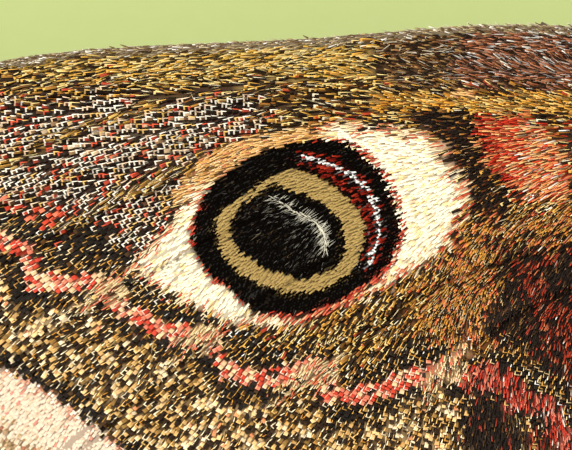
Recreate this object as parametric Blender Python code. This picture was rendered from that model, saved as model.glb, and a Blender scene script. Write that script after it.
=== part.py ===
"""Life-size male emperor moth, standing on its six feet with its wings held open.

The head points to -Y and the moth's own left wing to +X. Sizes are in millimetres until a mesh is
made. Places are written as (out, forward, up): out from the body's middle plane, forward towards the
head, and up from the floor.
"""

import math
import random

import bmesh
import bpy
from mathutils import Vector

MM = 0.001
GAP = 0.3
COAT_GAP = 0.25

# Body under the coat, as half sizes (out, forward, up) and centres.
THORAX_CENTRE = Vector((0.0, 0.0, 5.7))
THORAX_HALF = Vector((3.45, 5.0, 3.15))
THORAX_ARC = 5.9
NECK_AT = 4.5
WAIST_AT = -4.3
HEAD_CENTRE = Vector((0.0, 5.9, 5.3))
HEAD_HALF = Vector((1.5, 1.65, 1.5))
EYE_RADIUS = 0.85
EYE_CENTRE = Vector((1.42, 6.35, 5.15))
ABDOMEN_LENGTH = 9.0
ABDOMEN_HALF_WIDTH = 2.3
ABDOMEN_RINGS = 7
ABDOMEN_START_UP = 5.3
ABDOMEN_DROP = 1.0

# Coat: rows of flat tapered locks. A row gives how far back its roots are, from the front of the
# body, the count of its locks, the half of the circle that they span, their length and their rise.
THORAX_ROWS = [
    (2.9, 9, 118, 2.2, 0.85), (4.3, 10, 112, 2.6, 0.90), (5.8, 10, 105, 2.7, 0.90),
    (7.3, 10, 105, 2.7, 0.85), (8.8, 9, 112, 2.7, 0.85), (10.3, 9, 118, 2.7, 0.90),
    (11.8, 8, 125, 2.8, 1.20), (13.2, 7, 125, 2.6, 1.40),
]
ABDOMEN_ROWS = [
    (1.3, 8, 140, 2.0, 0.50), (2.6, 9, 140, 2.0, 0.50), (3.9, 8, 140, 2.0, 0.50),
    (5.2, 8, 140, 1.9, 0.45), (6.5, 7, 145, 1.8, 0.40), (7.6, 6, 180, 1.9, 0.25),
]
HEAD_ROWS = [(0.9, 6, 95, 1.4, 0.45), (1.9, 6, 95, 1.5, 0.45)]
LOCK_WIDTH = 1.35
LOCK_THICKNESS = 0.6
LOCK_SINK = 0.65
LOCK_SHARES = (0.0, 0.33, 0.7, 1.0)
LOCK_TAPER = (1.0, 0.95, 0.62)
HEAD_LOCK_WIDTH = 0.8
FOREHEAD_LOCKS = 5
FOREHEAD_LENGTH = 1.3
PALP_PATH = [(0.45, 6.6, 4.5), (0.6, 7.4, 4.35), (0.65, 8.1, 4.7), (0.6, 8.6, 5.2)]
PALP_RADII = (0.36, 0.42, 0.34)

# Antenna: curved rays on both sides of a shaft.
ANTENNA_ROOT = Vector((0.75, 6.7, 6.2))
ANTENNA_WAY = Vector((0.70, 0.66, 0.22)).normalized()
ANTENNA_LENGTH = 9.4
ANTENNA_BOW = 0.9
ANTENNA_HALF_WIDTH = 2.3
SHAFT_RADII = (0.36, 0.25)
RAY_COUNT = 9
RAY_THICKNESS = 0.5
RAY_SWEEP = 0.45
RAY_DROOP = 0.35

# Wings: lines from the hinge to the margin, each through points (out, forward).
FOREWING_LINES = {
    "costa": [(1.6, 2.6), (9.3, 4.15), (16.3, 3.8), (23.3, 3.4), (27.8, 1.85)],
    "subcosta": [(1.6, 2.2), (9.3, 3.4), (16.3, 3.1), (23.4, 2.2), (29.3, 0.3)],
    "radius": [(1.6, 1.8), (9.3, 2.6), (16.3, 2.4), (23.2, 1.0), (29.9, -1.5)],
    "radial_sector": [(1.6, 1.4), (9.3, 1.9), (16.3, 1.75), (22.9, -0.15), (29.7, -3.3)],
    "media_1": [(1.6, 1.0), (9.3, 1.2), (16.2, 1.1), (22.5, -1.4), (28.8, -5.1)],
    "media_2": [(1.6, 0.6), (9.2, 0.4), (15.7, -0.3), (21.2, -3.0), (27.0, -7.3)],
    "media_3": [(1.6, 0.2), (8.9, -0.4), (14.9, -1.6), (19.7, -5.1), (24.8, -9.7)],
    "cubitus_1": [(1.6, -0.2), (8.5, -1.1), (13.6, -2.9), (17.7, -6.6), (22.2, -11.9)],
    "cubitus_2": [(1.6, -0.6), (7.7, -1.8), (11.8, -3.8), (15.2, -8.0), (19.5, -13.5)],
    "anal": [(1.6, -1.0), (6.2, -2.9), (9.2, -5.7), (12.6, -9.9), (16.6, -14.1)],
    "dorsum": [(1.6, -1.4), (5.0, -3.5), (7.8, -6.6), (10.9, -10.2), (14.3, -13.0)],
}
HINDWING_LINES = {
    "costa": [(1.6, -1.3), (6.6, -2.6), (11.2, -4.8), (15.4, -7.7), (18.3, -10.3)],
    "subcosta": [(1.6, -1.6), (6.4, -3.2), (10.8, -6.0), (15.0, -9.5), (18.9, -12.9)],
    "radial_sector": [(1.6, -1.9), (6.1, -3.9), (10.1, -7.2), (13.9, -11.1), (17.8, -15.4)],
    "media_1": [(1.6, -2.2), (5.7, -4.5), (9.3, -8.2), (12.6, -12.4), (15.7, -17.2)],
    "media_2": [(1.6, -2.5), (5.3, -5.0), (8.4, -9.0), (11.1, -13.4), (13.7, -18.5)],
    "media_3": [(1.6, -2.8), (4.9, -5.4), (7.5, -9.6), (9.6, -14.1), (11.5, -19.3)],
    "cubitus_1": [(1.6, -3.1), (4.5, -5.7), (6.5, -9.9), (8.0, -14.4), (9.2, -19.5)],
    "cubitus_2": [(1.6, -3.4), (4.1, -6.0), (5.5, -10.0), (6.4, -14.3), (7.0, -18.9)],
    "anal": [(1.6, -3.7), (3.7, -6.2), (4.5, -9.9), (4.8, -13.6), (4.9, -17.2)],
    "inner": [(1.6, -4.0), (3.35, -6.4), (3.5, -9.4), (3.6, -12.2), (3.75, -14.6)],
}
# Share of the wing's length at which each vein's ridge begins.
FOREWING_VEINS = {
    "subcosta": 0.06, "radius": 0.06, "radial_sector": 0.42, "media_1": 0.48, "media_2": 0.50,
    "media_3": 0.46, "cubitus_1": 0.30, "cubitus_2": 0.12, "anal": 0.06,
}
HINDWING_VEINS = {
    "subcosta": 0.10, "radial_sector": 0.10, "media_1": 0.45, "media_2": 0.47, "media_3": 0.43,
    "cubitus_1": 0.28, "cubitus_2": 0.12, "anal": 0.10,
}
VEIN_HEIGHT = 0.18
VEIN_HALF_WIDTH = 0.28
VEIN_FADE = 0.12
WING_THICKNESS = 0.5
MARGIN_THICKNESS = 0.36
WING_STATIONS = 9
HINGE_OUT = 3.3
HINGE_UP = 6.7
WING_RISE = 0.10
WING_SAG = 0.0045
WING_PITCH = 0.055
WING_CAMBER = 0.004
CAMBER_MIDDLE = -5.0
FOREWING_LIFT = 0.42
HINDWING_LIFT = -0.58

# Legs: points (out, forward, up) along each, and the radius at each point.
LEG_PATHS = {
    "foreleg": [(0.9, 2.6, 4.4), (1.9, 3.8, 3.3), (2.9, 5.2, 3.3), (3.5, 6.4, 1.9),
                (4.1, 7.6, 0.5), (4.5, 8.6, 0.24), (4.8, 9.6, 0.24)],
    "midleg": [(1.1, 0.4, 4.2), (2.5, 0.7, 3.1), (4.0, 0.9, 3.3), (5.2, 0.8, 1.9),
               (6.4, 0.6, 0.5), (7.5, 0.4, 0.24), (8.6, 0.2, 0.24)],
    "hindleg": [(1.0, -2.2, 4.2), (2.1, -3.1, 3.0), (3.3, -4.2, 3.2), (4.3, -5.6, 1.8),
                (5.1, -7.0, 0.5), (5.7, -8.1, 0.24), (6.2, -9.2, 0.24)],
}
LEG_RADII = [0.62, 0.60, 0.50, 0.42, 0.36, 0.31, 0.27]

COLOURS = {
    "wing_brown": ((0.30, 0.20, 0.12), 0.6),
    "wing_orange": ((0.72, 0.36, 0.10), 0.6),
    "fur_brown": ((0.16, 0.10, 0.07), 0.9),
    "fur_grey": ((0.35, 0.30, 0.26), 0.9),
    "eye_black": ((0.02, 0.018, 0.015), 0.15),
    "feeler_tan": ((0.42, 0.29, 0.15), 0.7),
    "leg_brown": ((0.18, 0.12, 0.08), 0.85),
}


def clear_scene():
    """Removes what the startup file holds."""
    for obj in list(bpy.data.objects):
        bpy.data.objects.remove(obj, do_unlink=True)


def material(name):
    """The named material, made once."""
    if name in bpy.data.materials:
        return bpy.data.materials[name]
    colour, roughness = COLOURS[name]
    made = bpy.data.materials.new(name)
    made.use_nodes = True
    shader = made.node_tree.nodes["Principled BSDF"]
    shader.inputs["Base Color"].default_value = (*colour, 1.0)
    shader.inputs["Roughness"].default_value = roughness
    shader.inputs["Metallic"].default_value = 0.0
    return made


def to_world(place, side):
    """A place (out, forward, up) in millimetres as a world point in metres, on side 1 or -1."""
    return Vector((side * place[0], -place[1], place[2])) * MM


def new_object(name, places, faces, look, side=1):
    """A closed mesh object whose faces point out, from places (out, forward, up)."""
    mesh = bpy.data.meshes.new(name)
    mesh.from_pydata([to_world(p, side) for p in places], [], faces)
    shell = bmesh.new()
    shell.from_mesh(mesh)
    bmesh.ops.recalc_face_normals(shell, faces=shell.faces)
    if shell.calc_volume(signed=True) < 0:
        bmesh.ops.reverse_faces(shell, faces=shell.faces)
    bmesh.ops.triangulate(shell, faces=shell.faces)
    shell.to_mesh(mesh)
    shell.free()
    mesh.materials.append(material(look))
    obj = bpy.data.objects.new(name, mesh)
    bpy.context.scene.collection.objects.link(obj)
    return obj


def skin_rings(rings):
    """Faces that join rings of equal length into a closed tube with flat ends."""
    count = len(rings[0])
    places = [p for ring in rings for p in ring]
    faces = []
    for row in range(len(rings) - 1):
        for i in range(count):
            j = (i + 1) % count
            a, b = row * count, (row + 1) * count
            faces.append((a + i, a + j, b + j, b + i))
    last = (len(rings) - 1) * count
    faces.append(tuple(range(count)))
    faces.append(tuple(range(last, last + count)))
    return places, faces


def ellipsoid(name, centre, half, look, side=1, around=16, along=12):
    """An ellipsoid whose poles lie along the body."""
    rings = []
    for row in range(1, along):
        tilt = math.pi * row / along
        ring = []
        for i in range(around):
            turn = 2 * math.pi * i / around
            spot = Vector((math.sin(tilt) * math.cos(turn), math.cos(tilt), math.sin(tilt) * math.sin(turn)))
            ring.append(centre + spot * half)
        rings.append(ring)
    places, faces = skin_rings(rings)
    faces = faces[:-2]
    front, back = len(places), len(places) + 1
    places += [centre + Vector((0, half.y, 0)), centre - Vector((0, half.y, 0))]
    last = (len(rings) - 1) * around
    for i in range(around):
        j = (i + 1) % around
        faces += [(front, i, j), (back, last + j, last + i)]
    return new_object(name, places, faces, look, side)


def evaluated_mesh(obj):
    """Applies the object's modifiers."""
    bpy.context.view_layer.update()
    graph = bpy.context.evaluated_depsgraph_get()
    mesh = bpy.data.meshes.new_from_object(obj.evaluated_get(graph))
    obj.modifiers.clear()
    obj.data = mesh


def keep_largest(obj):
    """Keeps only the object's largest closed surface."""
    shell = bmesh.new()
    shell.from_mesh(obj.data)
    unseen = set(shell.faces)
    parts = []
    while unseen:
        edge_of = [unseen.pop()]
        part = set(edge_of)
        while edge_of:
            for edge in edge_of.pop().edges:
                for face in edge.link_faces:
                    if face in unseen:
                        unseen.discard(face)
                        part.add(face)
                        edge_of.append(face)
        parts.append(part)
    parts.sort(key=lambda part: sum(face.calc_area() for face in part))
    for part in parts[:-1]:
        bmesh.ops.delete(shell, geom=list(part), context="FACES")
    loose = [v for v in shell.verts if not v.link_faces]
    bmesh.ops.delete(shell, geom=loose, context="VERTS")
    shell.to_mesh(obj.data)
    shell.free()


def combine(obj, others, operation):
    """Joins the others to obj, or cuts them from it, and removes them."""
    group = bpy.data.collections.new("tools")
    bpy.context.scene.collection.children.link(group)
    for other in others:
        bpy.context.scene.collection.objects.unlink(other)
        group.objects.link(other)
    boolean = obj.modifiers.new("combine", "BOOLEAN")
    boolean.operation = operation
    boolean.operand_type = "COLLECTION"
    boolean.collection = group
    boolean.solver = "MANIFOLD"
    evaluated_mesh(obj)
    for other in others:
        bpy.data.objects.remove(other, do_unlink=True)
    bpy.data.collections.remove(group)
    keep_largest(obj)


def slab(front, back):
    """A wide block between two planes across the body, for a straight cut."""
    reach = 30.0
    corners = [(x, f, z) for x in (-reach, reach) for f in (back, front) for z in (-reach, reach)]
    faces = [(0, 1, 3, 2), (4, 6, 7, 5), (0, 4, 5, 1), (2, 3, 7, 6), (0, 2, 6, 4), (1, 5, 7, 3)]
    return new_object("slab", corners, faces, "fur_brown")


def swollen(obj, by):
    """A copy of obj whose surface stands out by this many millimetres."""
    copy = obj.copy()
    copy.data = obj.data.copy()
    bpy.context.scene.collection.objects.link(copy)
    shell = bmesh.new()
    shell.from_mesh(copy.data)
    shell.normal_update()
    moves = [(v, v.co + v.normal * by * MM * v.calc_shell_factor()) for v in shell.verts]
    for vertex, place in moves:
        vertex.co = place
    shell.to_mesh(copy.data)
    shell.free()
    return copy


def through(points, share):
    """The place at a share from 0 to 1 along a smooth curve through evenly counted points."""
    spot = share * (len(points) - 1)
    start = min(int(spot), len(points) - 2)
    t = spot - start
    b, c = points[start], points[start + 1]
    a = points[start - 1] if start > 0 else b * 2 - c
    d = points[start + 2] if start + 2 < len(points) else c * 2 - b
    return (b * 2 + (c - a) * t + (a * 2 - b * 5 + c * 4 - d) * t * t
            + (b * 3 - a - c * 3 + d) * t * t * t) / 2


def wing_place(lines, along, across):
    """The plan place (out, forward) at a share along the wing and a line number across it."""
    spots = [through(line, along) for line in lines]
    return through(spots, across / (len(lines) - 1))


def wing_height(place, lift):
    """The height of a wing's middle surface over a plan place."""
    out = place.x - HINGE_OUT
    bend = WING_CAMBER * (place.y - CAMBER_MIDDLE) ** 2
    return HINGE_UP + WING_RISE * out - WING_SAG * out * out + WING_PITCH * place.y - bend + lift


def wing_columns(line_table, veins, along):
    """The line numbers of the columns across a wing, each with its rise, at a share along it."""
    lines = [[Vector(p) for p in line] for line in line_table.values()]
    columns = [(0.0, 0.0), (0.25, VEIN_HEIGHT), (0.5, 0.0)]
    for number, vein in enumerate(line_table):
        if vein not in veins:
            continue
        apart = (through(lines[number + 1], along) - through(lines[number - 1], along)).length / 2
        foot = min(0.3, VEIN_HALF_WIDTH / apart)
        strength = min(1.0, max(0.0, (along - veins[vein]) / VEIN_FADE))
        columns += [(number - foot, 0.0), (number, VEIN_HEIGHT * strength), (number + foot, 0.0)]
    return columns + [(len(lines) - 1.0, 0.0)]


def wing(name, line_table, veins, lift, look, side):
    """A wing as one thin closed plate over its plan, with its veins raised in its upper face."""
    lines = [[Vector(p) for p in line] for line in line_table.values()]
    top, bottom = [], []
    for row in range(WING_STATIONS + 1):
        along = row / WING_STATIONS
        thick = MARGIN_THICKNESS if row == WING_STATIONS else WING_THICKNESS
        columns = wing_columns(line_table, veins, along)
        for number, rise in columns:
            spot = wing_place(lines, along, number)
            middle = wing_height(spot, lift)
            top.append((spot.x, spot.y, middle + thick / 2 + rise))
            bottom.append((spot.x, spot.y, middle - thick / 2))
    wide, rows, under = len(columns), WING_STATIONS + 1, len(top)
    faces = []
    for r in range(rows - 1):
        for c in range(wide - 1):
            a = r * wide + c
            for triangle in ((a, a + 1, a + wide + 1), (a, a + wide + 1, a + wide)):
                faces.append(triangle)
                faces.append(tuple(under + i for i in reversed(triangle)))
    rim = list(range(wide)) + [r * wide + wide - 1 for r in range(1, rows)]
    rim += [(rows - 1) * wide + c for c in range(wide - 2, -1, -1)]
    rim += [r * wide for r in range(rows - 2, 0, -1)]
    for i, a in enumerate(rim):
        b = rim[(i + 1) % len(rim)]
        faces.append((a, b, under + b, under + a))
    return new_object(name, top + bottom, faces, look, side)


def tube(name, path, radii, look, side, sides=8, floor=None):
    """A closed tube along a path, flattened where it meets the floor."""
    rings = []
    for i, place in enumerate(path):
        ahead = path[min(i + 1, len(path) - 1)] - path[max(i - 1, 0)]
        ahead.normalize()
        across = ahead.cross(Vector((0, 0, 1))).normalized()
        over = across.cross(ahead)
        ring = []
        for n in range(sides):
            turn = 2 * math.pi * (n + 0.5) / sides
            spot = place + (across * math.cos(turn) + over * math.sin(turn)) * radii[i]
            if floor is not None:
                spot.z = max(spot.z, floor)
            ring.append(spot)
        rings.append(ring)
    places, faces = skin_rings(rings)
    return new_object(name, places, faces, look, side)


def leg(name, path, side):
    """A bent leg whose foot lies flat on the floor."""
    points = [Vector(p) for p in path]
    stations = 2 * (len(points) - 1)
    smooth = [through(points, i / stations) for i in range(stations + 1)]
    widths = [Vector((r, 0)) for r in LEG_RADII]
    radii = [through(widths, i / stations).x for i in range(stations + 1)]
    return tube(name, smooth, radii, "leg_brown", side, floor=0.0)


def abdomen_centre(share):
    """The middle of the abdomen at a share of its length."""
    forward = WAIST_AT - GAP - share * ABDOMEN_LENGTH
    return Vector((0, forward, ABDOMEN_START_UP - ABDOMEN_DROP * share ** 1.5))


def abdomen_half(share):
    """The abdomen's half width at a share of its length."""
    return ABDOMEN_HALF_WIDTH * math.sqrt(max(0.0, 1 - (max(share - 0.25, 0.0) / 0.78) ** 2.6))


def abdomen():
    """The ringed abdomen, each ring a little wider at its hind edge."""
    around, rings = 16, []
    for ring in range(ABDOMEN_RINGS):
        for part, swell in ((0.02, 0.96), (0.9, 1.03)):
            share = (ring + part) / ABDOMEN_RINGS
            half = abdomen_half(share) * swell
            middle = abdomen_centre(share)
            rings.append([middle + Vector((math.cos(t), 0, 0.94 * math.sin(t))) * half
                          for t in (2 * math.pi * i / around for i in range(around))])
    places, faces = skin_rings(rings)
    return new_object("abdomen", places, faces, "fur_grey")


def strand(path, across, widths, thicknesses, look, side=1):
    """A closed flat strand of lens section along a path, drawn out to a point at its end."""
    places, faces = [], []
    for i, (place, wide, thick) in enumerate(zip(path[:-1], widths, thicknesses)):
        ahead = path[i + 1] - path[max(i - 1, 0)]
        over = across.cross(ahead).normalized()
        places += [place + across * wide / 2, place + over * thick / 2,
                   place - across * wide / 2, place - over * thick / 2]
    faces.append((0, 1, 2, 3))
    for row in range(len(path) - 2):
        for i in range(4):
            j = (i + 1) % 4
            faces.append((4 * row + i, 4 * row + j, 4 * row + 4 + j, 4 * row + 4 + i))
    tip, last = len(places), len(places) - 4
    places.append(path[-1])
    faces += [(last + i, last + (i + 1) % 4, tip) for i in range(4)]
    return new_object("strand", places, faces, look, side)


def coat_lock(surface, back, turn, length, rise, width, look):
    """A lock rooted under a surface, which rises out of it and then lies along it to its tip."""
    path = []
    for share in LOCK_SHARES:
        spot, normal = surface(back + length * share, turn)
        path.append(spot + normal * (-LOCK_SINK + (LOCK_SINK + rise) * math.sin(share * math.pi / 2) ** 0.8))
    across = (surface(back, turn + 0.05)[0] - surface(back, turn - 0.05)[0]).normalized()
    widths = [width * taper for taper in LOCK_TAPER]
    thicknesses = [LOCK_THICKNESS * taper for taper in LOCK_TAPER]
    return strand(path, across, widths, thicknesses, look)


def coat(surface, rows, look, seed, width=LOCK_WIDTH):
    """Rows of locks over a surface, each row set between the locks of the row before it."""
    draw = random.Random(seed)
    locks = []
    for row, (back, count, spread, length, rise) in enumerate(rows):
        for i in range(count):
            turn = math.radians(90 + spread * (2 * (i + 0.5 + 0.5 * (row % 2 - 0.5)) / count - 1))
            turn += draw.uniform(-0.05, 0.05)
            locks.append(coat_lock(surface, back + draw.uniform(-0.15, 0.15), turn,
                                   length * draw.uniform(0.88, 1.1), rise * draw.uniform(0.85, 1.1),
                                   width * draw.uniform(0.9, 1.1), look))
    return locks


def ball_surface(centre, half, tilt, turn):
    """The place and outward direction on an ellipsoid, by the tilt from its front pole and the turn."""
    ring = math.sin(tilt)
    spot = Vector((ring * math.cos(turn), math.cos(tilt), ring * math.sin(turn))) * half
    normal = Vector([spot[i] / half[i] ** 2 for i in range(3)])
    return centre + spot, normal.normalized()


def thorax_surface(back, turn):
    """The place and outward direction on the thorax at a way back from its front pole."""
    return ball_surface(THORAX_CENTRE, THORAX_HALF, back / THORAX_ARC, turn)


def abdomen_surface(back, turn):
    """The place and outward direction on the abdomen at a way back from its front end."""
    share = back / ABDOMEN_LENGTH
    half = abdomen_half(min(share, 1.0))
    outward = Vector((math.cos(turn), 0, math.sin(turn)))
    return abdomen_centre(share) + Vector((outward.x, 0, 0.94 * outward.z)) * half, outward


def head_surface(forth, turn):
    """The place and outward direction on the head at a way forward from its hind pole."""
    return ball_surface(HEAD_CENTRE, HEAD_HALF, math.pi - forth / HEAD_HALF.y, turn)


def forehead():
    """The tuft of locks that hangs over the front of the head."""
    locks = []
    for i in range(FOREHEAD_LOCKS):
        for level, drop in ((0.75, 0.5), (0.15, 0.7)):
            aside = (i - (FOREHEAD_LOCKS - 1) / 2) * 0.48
            root = HEAD_CENTRE + Vector((aside, 0.75, level))
            lie = Vector((aside * 0.25, 0.85, -drop)).normalized()
            path = [root + lie * FOREHEAD_LENGTH * share - Vector((0, 0, 0.35 * share * share))
                    for share in LOCK_SHARES]
            widths = [HEAD_LOCK_WIDTH * taper for taper in LOCK_TAPER]
            thicknesses = [LOCK_THICKNESS * taper for taper in LOCK_TAPER]
            locks.append(strand(path, Vector((1, 0, 0)), widths, thicknesses, "fur_brown"))
    return locks


def palp(side):
    """The short mouth feeler that turns up in front of the face."""
    path = [Vector(p) for p in PALP_PATH]
    sizes = [2 * radius for radius in PALP_RADII]
    return strand(path, Vector((1, 0, 0)), sizes, sizes, "fur_brown", side)


def antenna_place(share):
    """The middle of the antenna's shaft at a share of its length."""
    across = Vector((0, 0, 1)).cross(ANTENNA_WAY).normalized()
    return ANTENNA_ROOT + ANTENNA_WAY * ANTENNA_LENGTH * share - across * ANTENNA_BOW * share * share


def antenna_half(share):
    """The length of the rays at a share of the antenna's length."""
    return 0.35 + (ANTENNA_HALF_WIDTH - 0.35) * math.sin(math.pi * min(1.0, share ** 0.85)) ** 0.8


def antenna_shaft(side):
    """The bare shaft of an antenna."""
    stations = 8
    path = [antenna_place(i / stations) for i in range(stations + 1)]
    thick, thin = SHAFT_RADII
    radii = [thick + (thin - thick) * i / stations for i in range(stations + 1)]
    return tube("antenna_" + SIDES[side], path, radii, "feeler_tan", side, sides=6)


def antenna_rays(side):
    """The rays on both sides of an antenna, swept towards its tip."""
    rays = []
    for i in range(RAY_COUNT):
        share = 0.13 + 0.82 * i / (RAY_COUNT - 1)
        ahead = (antenna_place(share + 0.01) - antenna_place(share)).normalized()
        across = Vector((0, 0, 1)).cross(ahead).normalized()
        reach = antenna_half(share)
        for edge in (1, -1):
            path = []
            for part in LOCK_SHARES:
                sweep = ahead * RAY_SWEEP * reach * part ** 1.6
                path.append(antenna_place(share) + across * edge * reach * part + sweep
                            - Vector((0, 0, RAY_DROOP * part * part)))
            sizes = [RAY_THICKNESS * 1.2, RAY_THICKNESS * 1.2, RAY_THICKNESS * 0.9]
            rays.append(strand(path, ahead, sizes, sizes, "feeler_tan", side))
    return rays


SIDES = {1: "left", -1: "right"}


def build():
    """Makes every node: bare bodies first, then limbs cut clear of them, then coats cut clear of limbs."""
    thorax = ellipsoid("thorax", THORAX_CENTRE, THORAX_HALF, "fur_brown")
    belly = abdomen()
    limbs = []
    for side, word in SIDES.items():
        limbs.append(wing("forewing_" + word, FOREWING_LINES, FOREWING_VEINS,
                          FOREWING_LIFT, "wing_brown", side))
        limbs.append(wing("hindwing_" + word, HINDWING_LINES, HINDWING_VEINS,
                          HINDWING_LIFT, "wing_orange", side))
        limbs += [leg(f"{pair}_{word}", path, side) for pair, path in LEG_PATHS.items()]
    for limb in limbs:
        combine(limb, [swollen(thorax, GAP), swollen(belly, GAP)], "DIFFERENCE")
    combine(thorax, [slab(30, NECK_AT), slab(WAIST_AT, -30)], "DIFFERENCE")

    head = ellipsoid("head", HEAD_CENTRE, HEAD_HALF, "fur_brown", around=14, along=9)
    combine(head, [slab(NECK_AT + GAP, -30)], "DIFFERENCE")
    shafts = [antenna_shaft(side) for side in SIDES]
    for shaft in shafts:
        combine(shaft, [swollen(head, GAP)], "DIFFERENCE")
    thorax_cuts = [swollen(other, COAT_GAP) for other in limbs + [head, belly]]
    belly_cuts = [swollen(limb, COAT_GAP) for limb in limbs]
    head_cuts = [swollen(shaft, COAT_GAP) for shaft in shafts] + [slab(NECK_AT + GAP, -30)]
    for side, word in SIDES.items():
        ellipsoid("eye_" + word, EYE_CENTRE, Vector((1, 1, 1)) * EYE_RADIUS, "eye_black", side, 12, 9)
        socket = Vector((1, 1, 1)) * (EYE_RADIUS + COAT_GAP)
        head_cuts.append(ellipsoid("socket", EYE_CENTRE, socket, "eye_black", side, 12, 9))
    for shaft, side in zip(shafts, SIDES):
        combine(shaft, antenna_rays(side), "UNION")

    combine(thorax, coat(thorax_surface, THORAX_ROWS, "fur_brown", 4), "UNION")
    combine(thorax, thorax_cuts, "DIFFERENCE")
    combine(belly, coat(abdomen_surface, ABDOMEN_ROWS, "fur_grey", 5), "UNION")
    combine(belly, belly_cuts, "DIFFERENCE")
    crown = coat(head_surface, HEAD_ROWS, "fur_brown", 7, HEAD_LOCK_WIDTH)
    combine(head, crown + forehead() + [palp(side) for side in SIDES], "UNION")
    combine(head, head_cuts, "DIFFERENCE")


def centre_on_origin():
    """Moves the whole moth so that the middle of its plan is the origin."""
    meshes = [obj for obj in bpy.data.objects if obj.type == "MESH"]
    ys = [v.co.y for obj in meshes for v in obj.data.vertices]
    middle = (min(ys) + max(ys)) / 2
    for obj in meshes:
        for vertex in obj.data.vertices:
            vertex.co.y -= middle


clear_scene()
build()
centre_on_origin()
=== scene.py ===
"""Looks of a life-size male emperor moth: scaled wings, fur, feathered antennae and faceted eyes.

Plan places are (out, forward) in millimetres: out from the body's middle plane and forward towards
the head. Solid places are (x, y, z) in millimetres of the shared frame, on the moth's left half, and
become metres when a mesh is made.
"""

import logging
import math
from dataclasses import dataclass, field
from enum import Enum
from functools import partial

import bmesh
import bpy
import numpy as np
from mathutils import Matrix, Vector


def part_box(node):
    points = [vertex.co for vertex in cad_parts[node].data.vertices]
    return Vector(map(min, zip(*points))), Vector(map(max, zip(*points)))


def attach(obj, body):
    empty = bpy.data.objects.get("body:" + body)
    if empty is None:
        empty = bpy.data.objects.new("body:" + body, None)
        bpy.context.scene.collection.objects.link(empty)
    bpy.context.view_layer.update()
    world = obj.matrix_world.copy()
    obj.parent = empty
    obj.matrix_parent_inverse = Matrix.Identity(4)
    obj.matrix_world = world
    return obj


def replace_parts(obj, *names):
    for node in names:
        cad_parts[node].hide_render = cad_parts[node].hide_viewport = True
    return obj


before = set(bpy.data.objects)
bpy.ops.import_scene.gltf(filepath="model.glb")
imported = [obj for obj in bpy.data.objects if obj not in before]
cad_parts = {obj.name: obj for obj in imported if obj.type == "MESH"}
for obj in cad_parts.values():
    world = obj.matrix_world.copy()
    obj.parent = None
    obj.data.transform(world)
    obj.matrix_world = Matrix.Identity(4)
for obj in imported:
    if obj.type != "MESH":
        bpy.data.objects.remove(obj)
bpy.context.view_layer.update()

LOG = logging.getLogger("emperor_moth")
MM = 0.001
EYE_FORWARD = 6.35
EYE_CENTRE = (1.42, EYE_FORWARD, 5.15)
EYE_RADIUS = 0.85
EYE_LOW, EYE_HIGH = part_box("eye_left")
PLAN_SHIFT = (EYE_LOW.y + EYE_HIGH.y) / 2 / MM + EYE_FORWARD
PATCH = 0.003
UP = (0.0, 0.0, 1.0)
LIMB_ASIDE = (0.31, 0.2, 0.93)
# Painted shade: the membrane and skin seen between scales and hairs take half the colour of their coat.
UNDERCOAT_PAINTED_SHADE = 0.5
EVERYWHERE = -9.0
NOWHERE = 9.0

Array = np.ndarray
Finish = bpy.types.Material
Piece = bpy.types.Object
Plan = tuple[float, float]
Place = tuple[float, float, float]

new_draw = np.random.default_rng


class Side(Enum):
    """The moth's own left or right, as the sign of X."""

    LEFT = 1
    RIGHT = -1


class Face(Enum):
    """The upper or under face of a wing, as the sign of Z."""

    UPPER = 1
    UNDER = -1


def linear(colour: str) -> tuple[float, float, float]:
    """Turns an sRGB hex colour into linear light.

    Args:
        colour: six hex digits after a hash.

    Returns:
        Red, green and blue from 0 to 1.
    """
    values = [int(colour[i:i + 2], 16) / 255 for i in (1, 3, 5)]
    return tuple(v / 12.92 if v <= 0.04045 else ((v + 0.055) / 1.055) ** 2.4 for v in values)


def solid(places: Array) -> Array:
    """Turns rows of (out, forward, up) into rows of x, y and z on the left half, in millimetres."""
    places = np.asarray(places, float)
    return np.stack((places[..., 0], PLAN_SHIFT - places[..., 1], places[..., 2]), axis=-1)


def unit(rows: Array) -> Array:
    """Scales each row to a length of one."""
    return rows / np.maximum(np.linalg.norm(rows, axis=-1, keepdims=True), 1e-9)


def step_up(values: Array, low: float, high: float) -> Array:
    """Rises smoothly from 0 at the low value to 1 at the high value."""
    t = np.clip((values - low) / (high - low), 0, 1)
    return t * t * (3 - 2 * t)


def spline_weights(share: Array, count: int) -> tuple[Array, Array]:
    """Weights of a smooth curve through evenly counted points.

    Args:
        share: places along the curve, from 0 to 1.
        count: how many points the curve runs through.

    Returns:
        The first of four padded points that each place reads, and its four weights.
    """
    spot = np.clip(share, 0.0, 1.0) * (count - 1)
    start = np.minimum(spot.astype(int), count - 2)
    t = (spot - start)[:, None]
    shares = (2 * t**2 - t - t**3, 2 - 5 * t**2 + 3 * t**3, t + 4 * t**2 - 3 * t**3, t**3 - t**2)
    return start, np.hstack(shares) / 2


def pad_ends(points: Array) -> Array:
    """Adds one point in line before the first and one after the last."""
    return np.concatenate(([2 * points[0] - points[1]], points, [2 * points[-1] - points[-2]]))


def smooth_path(points: list | tuple, share: Array) -> Array:
    """Places on a smooth curve through given points.

    Args:
        points: the points it runs through.
        share: places along it, from 0 to 1.

    Returns:
        Rows of points.
    """
    rows = np.array(points, float)
    start, weights = spline_weights(share, len(rows))
    padded = pad_ends(rows)
    return sum(weights[:, k:k + 1] * padded[start + k] for k in range(4))


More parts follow.
